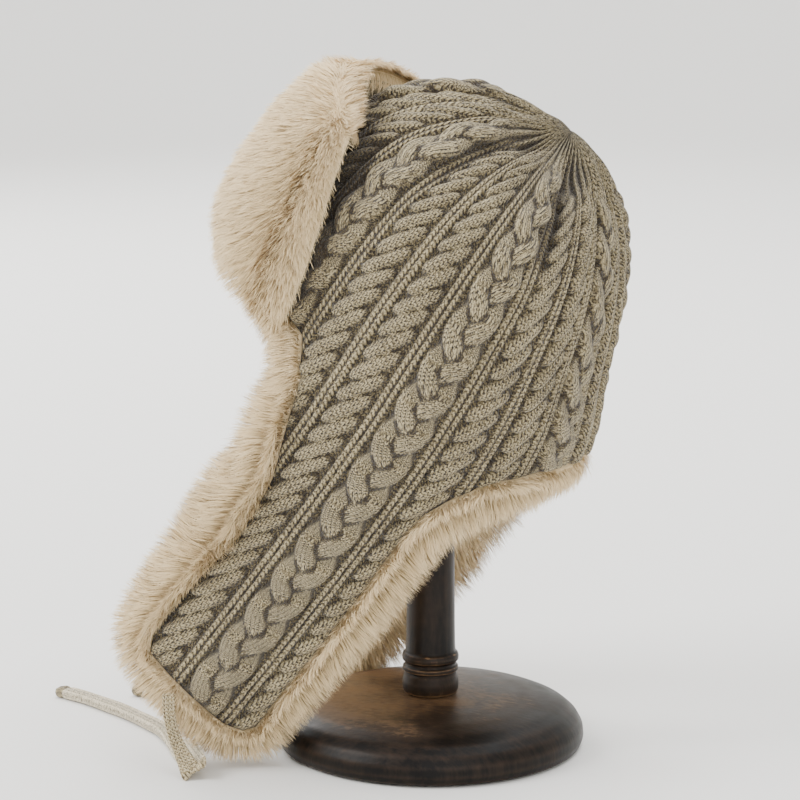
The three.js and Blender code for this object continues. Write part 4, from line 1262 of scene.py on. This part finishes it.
class HAT_OT_trim(bpy.types.Operator):
    """Grows the pile of the plush trim round the hem"""
    bl_idname = "hat.trim"
    bl_label = "Plush trim"

    def execute(self, context):
        plush = context.scene.hat_plush
        *_, place, p, n, out = roll_frame()
        roll = on_stand(roll_surface(place, p, n, out))
        normal = on_stand(n, False)
        outward = on_stand(out, False)
        edge_step = np.linalg.norm(np.roll(p, -1, axis=0) - p, axis=1)
        edge_length = np.concatenate([[0], np.cumsum(edge_step)])
        # Locks are dealt out by the area of the roll beside each stretch of the hem.
        weight = edge_step * (0.35 * np.interp(place, ROLL_PLACE, ROLL_REACH) + 8)
        chance = np.cumsum(weight) / weight.sum()
        for side, name in ((1, "near"), (-1, "far")):
            random = np.random.default_rng(11 + side)
            pick = random.random(plush.trim_hairs * 2)
            here = np.searchsorted(chance, pick)
            part = random.random(len(here))
            keep = p[here, 0] * side > 0
            here = here[keep]
            part = part[keep]
            after = (here + 1) % len(p)
            # Each root stands t steps across the roll, from the knit's edge to the inside.
            t = random.random(len(here)) ** 1.15 * (roll.shape[1] - 1.5) + 0.45
            low = t.astype(int)
            f = (t - low)[:, None]
            e = part[:, None]
            inner = mix(roll[here, low], roll[after, low], e)
            outer = mix(roll[here, low + 1], roll[after, low + 1], e)
            roots = mix(inner, outer, f)
            slope = unit(outer - inner)
            run = unit(roll[after, low] - roll[here, low])
            face = unit(np.cross(slope, run))
            face = face * np.sign(np.sum((face * (normal + outward)[here])[t < 4]))
            face = np.where((t < ROLL_SHORT_STEP)[:, None], normal[here], face)
            hem_out = unit(mix(outward[here], outward[after], e))
            pile_length = np.interp(place, ROLL_PLACE, ROLL_PILE)[here]
            distance = edge_length[here] + part * edge_step[here]
            wave = 0.25 * np.sin(distance / 7.0) + 0.2 * np.sin(distance / 17.0 + 1.3)
            # Beside the knit the pile parts: it stands up and half of it lies over the hem.
            edge = ((1 - smooth(0.8, 2.6, t)) * random.uniform(0, 1, len(here)))[:, None]
            first = unit(0.9 * face + (0.35 - 0.7 * edge) * hem_out + 0.25 * run * wave[:, None])
            last = unit(0.45 * face + (0.75 - 1.35 * edge) * hem_out - 0.45 * (1 - edge) * UP
                        + 0.9 * run * wave[:, None])
            # At the nape it lies down along the neck.
            nape = (1 - smooth(0.2, 0.9, place[here]))[:, None]
            first = unit(first - nape * (0.8 * UP + 0.6 * normal[here]))
            last = unit(last - nape * (0.9 * UP + 0.5 * normal[here]))
            fuller = smooth(1.0, 1.3, place[here]) * (1 - smooth(2.1, 2.4, place[here])) * (side < 0)
            length = np.where(t < ROLL_SHORT_STEP, ROLL_SHORT_SHARE, 1) * pile_length
            length = length * (1 + FAR_PILE_MORE * fuller) * MM
            length = length * random.uniform(0.75, 1.15, len(here))
            # Locks are cells about 4.5 mm long, each row of them set off from the last as bricks are.
            row = np.floor(t * 1.6 + 0.4 * np.sin(distance / 5.0))
            cells = np.floor(distance / 4.5 + 0.7 * np.sin(t * 3) + 0.37 * row) * 97 + row
            # Beside the knit the pile is paler, painted light against the shade there; along a flap's front
            # edge it is browner instead, partly its roots at the parting and partly painted shade in the
            # crease.
            crease = smooth(2.95, 3.2, place[here]) * (1 - smooth(3.7, 4.0, place[here]))
            near_knit = 1 - smooth(0.9, 2.0, t)
            tone = 0.12 + near_knit * (0.25 - 0.5 * crease)
            grow_pile(f"plush_trim_{name}", plush, roots, first, last, face, length, cells, TRIM_PILE,
                      tone, random)
        return {"FINISHED"}


class HAT_OT_inside(bpy.types.Operator):
    """Grows the pile inside the flaps and the crown"""
    bl_idname = "hat.inside"
    bl_label = "Plush inside"

    def execute(self, context):
        plush = context.scene.hat_plush
        random = np.random.default_rng(29)
        count = plush.inside_hairs
        down = random.random(count)
        across = random.random(count)
        side = np.where(random.random(count) < 0.5, -1, 1)
        front = np.interp(down, FLAP_DOWN, FLAP_FRONT_EDGE)
        back = np.interp(down, FLAP_DOWN, FLAP_BACK_EDGE)
        angle = side * mix(front, back, across)
        v = mix(5.6, 9.55, down)
        # A quarter of the locks stand all round inside the brow and nape.
        high = random.random(count) < 0.25
        angle = np.where(high, random.uniform(-180, 180, count), angle)
        v = np.where(high, random.uniform(4.6, 6.3, count), v)
        roots = on_stand(offset_point(angle, v, LINING_OUTSIDE - lining_depth(v)))
        inward = -on_stand(cloth_normal(angle, v), False)
        below = unit(on_stand(cloth_point(angle, v + 0.1) - cloth_point(angle, v - 0.1), False))
        length = random.uniform(6, 11, count) * MM
        first = unit(0.9 * inward + 0.3 * below)
        last = unit(0.3 * inward + 0.9 * below)
        cells = np.floor(angle / 3) * 997 + np.floor(v * 14)
        grow_pile("plush_inside", plush, roots, first, last, inward, length, cells, INSIDE_PILE, 0.02,
                  random)
        return {"FINISHED"}


def visor_place(across, high, spare):
    """Angle and ring coordinate of the visor at shares across and up; spare widens it in degrees."""
    angle = across * (mix(VISOR_LOW_ANGLE, VISOR_HIGH_ANGLE, high ** 1.6) + spare)
    corner = 0.35 * np.abs(across) ** 4
    rise = spare / 60
    return angle, mix(VISOR_LOW_RING + rise * 2, VISOR_HIGH_RING - rise * 2 + corner, high)


def visor_lift(high):
    """Stand-off of the visor from the cloth behind it: 2.6 + 9 h^1.3."""
    return 2.6 + 9 * high ** 1.3


def visor_back(high):
    """Stand-off of the back of the plush, clear of the knit."""
    return visor_lift(high) + VISOR_BACKING + VISOR_ROOM


def visor_front(across, high):
    """Stand-off of the plush's ground in front: full height, less a valley inside each free edge
    and 3.8 to 6.5 mm for the pile, rounded to the rim as the root of 1 - s^6."""
    shrink = mix(3.8, 6.5, smooth(0.2, 0.6, high))
    edge = np.abs(across)
    dent = np.exp(-(((edge - VISOR_VALLEY) / VISOR_VALLEY_WIDTH) ** 2))
    valley = VISOR_VALLEY_DEPTH * dent * (1 - smooth(0.6, 0.9, high))
    rounding = np.sqrt(np.maximum(0, 1 - edge ** 6))
    full = np.interp(high, VISOR_HIGH, VISOR_OUT) - valley - shrink
    return mix(visor_back(high) + 4 - shrink * 0.3, full, rounding)


def visor_surface(across, high):
    """Ground of the visor's plush on the stand, in metres."""
    angle, v = visor_place(across, high, VISOR_SPARE)
    return on_stand(offset_point(angle, v, visor_front(across, high)))


def pillow(name, across, up, spare, back_at, front_at, material):
    """Closed pillow of two grids over shares (s, h) of the visor that meet half way at their
    border. The uv is in millimetres: 1.85 to a degree and 42 to a ring."""
    s = np.linspace(-1, 1, across + 1)[None, :]
    h = np.linspace(0, 1, up + 1)[:, None]
    angle, v = visor_place(s, h, spare)
    back = np.broadcast_to(back_at(s, h), angle.shape)
    front = np.broadcast_to(front_at(s, h), angle.shape)
    border = np.zeros(angle.shape, bool)
    border[[0, -1]] = True
    border[:, [0, -1]] = True
    back = np.where(border, (back + front) / 2, back)
    back_points = on_stand(offset_point(angle, v, back)).reshape(-1, 3)
    front_points = on_stand(offset_point(angle, v, front)).reshape(-1, 3)
    index = np.arange(angle.size).reshape(angle.shape)
    inner = np.full(angle.shape, -1)
    inner[~border] = angle.size + np.arange((~border).sum())
    front_index = np.where(border, index, inner)
    points = np.vstack([back_points, front_points[~border.ravel()]])
    flat = np.stack([angle * 1.85, v * 42], -1).reshape(-1, 2)
    faces = grid_faces(index)
    uv = np.vstack([flat[faces[:, ::-1].ravel()], flat[faces.ravel()]])
    quads = np.concatenate([faces[:, ::-1], grid_faces(front_index)])
    return make_piece(name, points, [quads[:, ::-1]], material, uv[::-1])


class HAT_OT_visor(bpy.types.Operator):
    """Makes the turned-up visor with its knitted back and plush front"""
    bl_idname = "hat.visor"
    bl_label = "Visor"

    def execute(self, context):
        knit = context.scene.hat_knit
        plush = context.scene.hat_plush
        ground, _ = plush_materials(plush)
        yarn = shell_yarn(knit, "wool_blend_plain_knit", knit.stitch_width / MM, knit.stitch_row / MM, 1.0)

        def back(s, h):
            """Stand-off of the strip's back: the lift less 0.6 s^2."""
            return visor_lift(h) - 0.6 * s * s

        backing = pillow("visor_backing_knit", 64, 24, 0, back, lambda s, h: back(s, h) + VISOR_BACKING,
                         yarn)
        dress(backing, "wool_knit", "visor_backing")
        body = pillow("visor_plush_ground", 72, 30, VISOR_SPARE, lambda s, h: visor_back(h), visor_front,
                      ground)
        dress(body, "plush", "fur_visor")

        random = np.random.default_rng(5)
        count = plush.visor_hairs
        s = random.uniform(-1, 1, count)
        s = np.sign(s) * np.abs(s) ** 0.85
        h = random.random(count) ** 0.95
        rim = random.random(count) < RIM_SHARE
        h = np.where(rim, 1.0, h)
        on_rim = rim[:, None]
        roots = visor_surface(s, h)
        side_step = visor_surface(np.clip(s + 0.01, -1, 1), h) - visor_surface(np.clip(s - 0.01, -1, 1), h)
        up_step = visor_surface(s, np.clip(h + 0.01, 0, 1)) - visor_surface(s, np.clip(h - 0.01, 0, 1))
        face = unit(np.cross(side_step, up_step))
        angle, v = visor_place(s, h, VISOR_SPARE)
        outward = on_stand(cloth_normal(angle, v), False)
        face = face * np.sign(np.sum(face * outward))
        to_edge = unit(side_step) * np.sign(s)[:, None]
        below = -unit(up_step)
        # Inside the valley the pile is brushed down and inwards, and outside it to the free edge.
        lobe = smooth(VISOR_VALLEY - 0.05, VISOR_VALLEY + 0.05, np.abs(s))[:, None]
        flow = mix(0.9 * below - 0.45 * to_edge, 0.55 * below + 0.85 * to_edge, lobe)
        # Over the rim the pile turns back; along the free edges it is short and hangs.
        over = smooth(0.9, 1.0, h)[:, None]
        hang = smooth(0.86, 0.97, np.abs(s))[:, None]
        flow = mix(flow, 0.9 * below + 0.3 * to_edge, hang)
        flow = unit(mix(flow, -0.3 * below - 0.8 * outward, over))
        rim_flow = unit(-outward - random.uniform(-0.35, 0.2, (count, 1)) * below)
        flow = np.where(on_rim, rim_flow, flow)
        face = np.where(on_rim, unit(0.2 * face - below + 1.5 * UP), unit(face + over * UP))
        # About half of the rim's locks turn down behind it and hide the top of the knitted back.
        tucked = rim & (random.random(count) < TUCKED_SHARE) & (np.abs(s) < TUCKED_WITHIN)
        is_tucked = tucked[:, None]
        face = np.where(is_tucked, unit(UP - 0.8 * outward), face)
        length = random.uniform(9, 13, count) * MM * (1 + 0.2 * (1 - smooth(0.25, 0.55, h)))
        length = length * mix(1, 0.7, hang[:, 0]) * mix(0.8, 1, smooth(0, 0.3, h))
        length = np.where(rim, random.uniform(11, 16, count) * MM, length)
        fall = random.uniform(0.3, 1.4, (count, 1))
        first = np.where(is_tucked, unit(0.15 * UP - outward), unit(0.95 * face + 0.45 * flow))
        last = np.where(is_tucked, unit(fall * below - 0.3 * outward), unit(0.45 * face + 0.9 * flow))
        length = np.where(tucked, length * TUCKED_LONGER, length)
        cells = np.floor(s * 26 + 0.5 * np.sin(h * 40)) * 997 + np.floor(h * 26)
        # Beside the valley, where the pile parts, it is browner: partly its roots and partly painted shade in
        # the valley. Over the rim it is paler, painted light against the shade there.
        part = np.exp(-(((np.abs(s) - VISOR_VALLEY - 0.03) / 0.1) ** 2)) * (1 - smooth(0.62, 0.85, h))
        tone = 0.1 - 0.34 * part + 0.2 * over[:, 0]
        grow_pile("visor_plush_pile", plush, roots, first, last, face, length, cells, VISOR_PILE, tone,
                  random)
        return {"FINISHED"}


class HAT_OT_stand(bpy.types.Operator):
    """Turns the stand's base, post and head"""
    bl_idname = "hat.stand"
    bl_label = "Stand"

    def execute(self, context):
        stand = context.scene.hat_stand
        wood = material_named("stained_turned_beech", dark_wood, to_hex(stand.dark), to_hex(stand.sheen_brown),
                              to_hex(stand.worn))
        parts = (("stand_base", BASE_PROFILE), ("stand_post", POST_PROFILE), ("stand_head", HEAD_PROFILE))
        for name, profile in parts:
            # Each stretch of the profile is cut up and rounded by passes of neighbour means.
            place = np.linspace(0, len(profile) - 1, (len(profile) - 1) * PROFILE_CUTS + 1)
            line = np.stack([np.interp(place, np.arange(len(profile)), profile[:, k]) for k in (0, 1)], -1)
            for _ in range(PROFILE_PASSES):
                line[1:-1] = (line[:-2] + 2 * line[1:-1] + line[2:]) / 4
            line[[0, -1], 0] = 0
            turn = np.arange(stand.sides) / stand.sides * 2 * np.pi
            ring = line[1:-1]
            points = np.stack([ring[:, :1] * np.cos(turn), ring[:, :1] * np.sin(turn),
                               np.broadcast_to(ring[:, 1:], (len(ring), stand.sides))], -1)
            points = np.vstack([points.reshape(-1, 3), [[0, 0, line[0, 1]], [0, 0, line[-1, 1]]]])
            piece = make_piece(name + "_turned", points * MM, tube_faces(len(ring), stand.sides), wood)
            dress(piece, "dark_wood", name)
        return {"FINISHED"}


class HAT_PT_panel(bpy.types.Panel):
    """Lists the hat's settings and pieces"""
    bl_idname = "HAT_PT_panel"
    bl_label = "Trapper hat"
    bl_space_type = "VIEW_3D"
    bl_region_type = "UI"
    bl_category = "Hat"

    def draw(self, context):
        layout = self.layout
        for group in (context.scene.hat_knit, context.scene.hat_plush, context.scene.hat_stand,
                      context.scene.hat_stage):
            box = layout.box()
            for key in group.bl_rna.properties.keys():
                if key not in {"rna_type", "name"}:
                    box.prop(group, key)
        for step in PIECE_OPERATORS:
            layout.operator(step.bl_idname)


SETTINGS = (
    ("hat_knit", HatKnitSettings),
    ("hat_plush", HatPlushSettings),
    ("hat_stand", HatStandSettings),
    ("hat_stage", HatStageSettings),
)
PIECE_OPERATORS = (
    HAT_OT_camera,
    HAT_OT_ties,
    HAT_OT_stage,
    HAT_OT_stand,
    HAT_OT_knit,
    HAT_OT_lining,
    HAT_OT_trim,
    HAT_OT_inside,
    HAT_OT_visor,
)


def register():
    """Registers the classes and hangs the settings on the scene."""
    for key, group in SETTINGS:
        bpy.utils.register_class(group)
        setattr(bpy.types.Scene, key, bpy.props.PointerProperty(type=group))
    for step in PIECE_OPERATORS:
        bpy.utils.register_class(step)
    bpy.utils.register_class(HAT_PT_panel)


def unregister():
    """Takes the classes and settings away again."""
    bpy.utils.unregister_class(HAT_PT_panel)
    for step in reversed(PIECE_OPERATORS):
        bpy.utils.unregister_class(step)
    for key, group in reversed(SETTINGS):
        delattr(bpy.types.Scene, key)
        bpy.utils.unregister_class(group)


def main():
    register()
    for step in PIECE_OPERATORS:
        group, name = step.bl_idname.split(".")
        getattr(getattr(bpy.ops, group), name)()


if __name__ == "__main__":
    main()
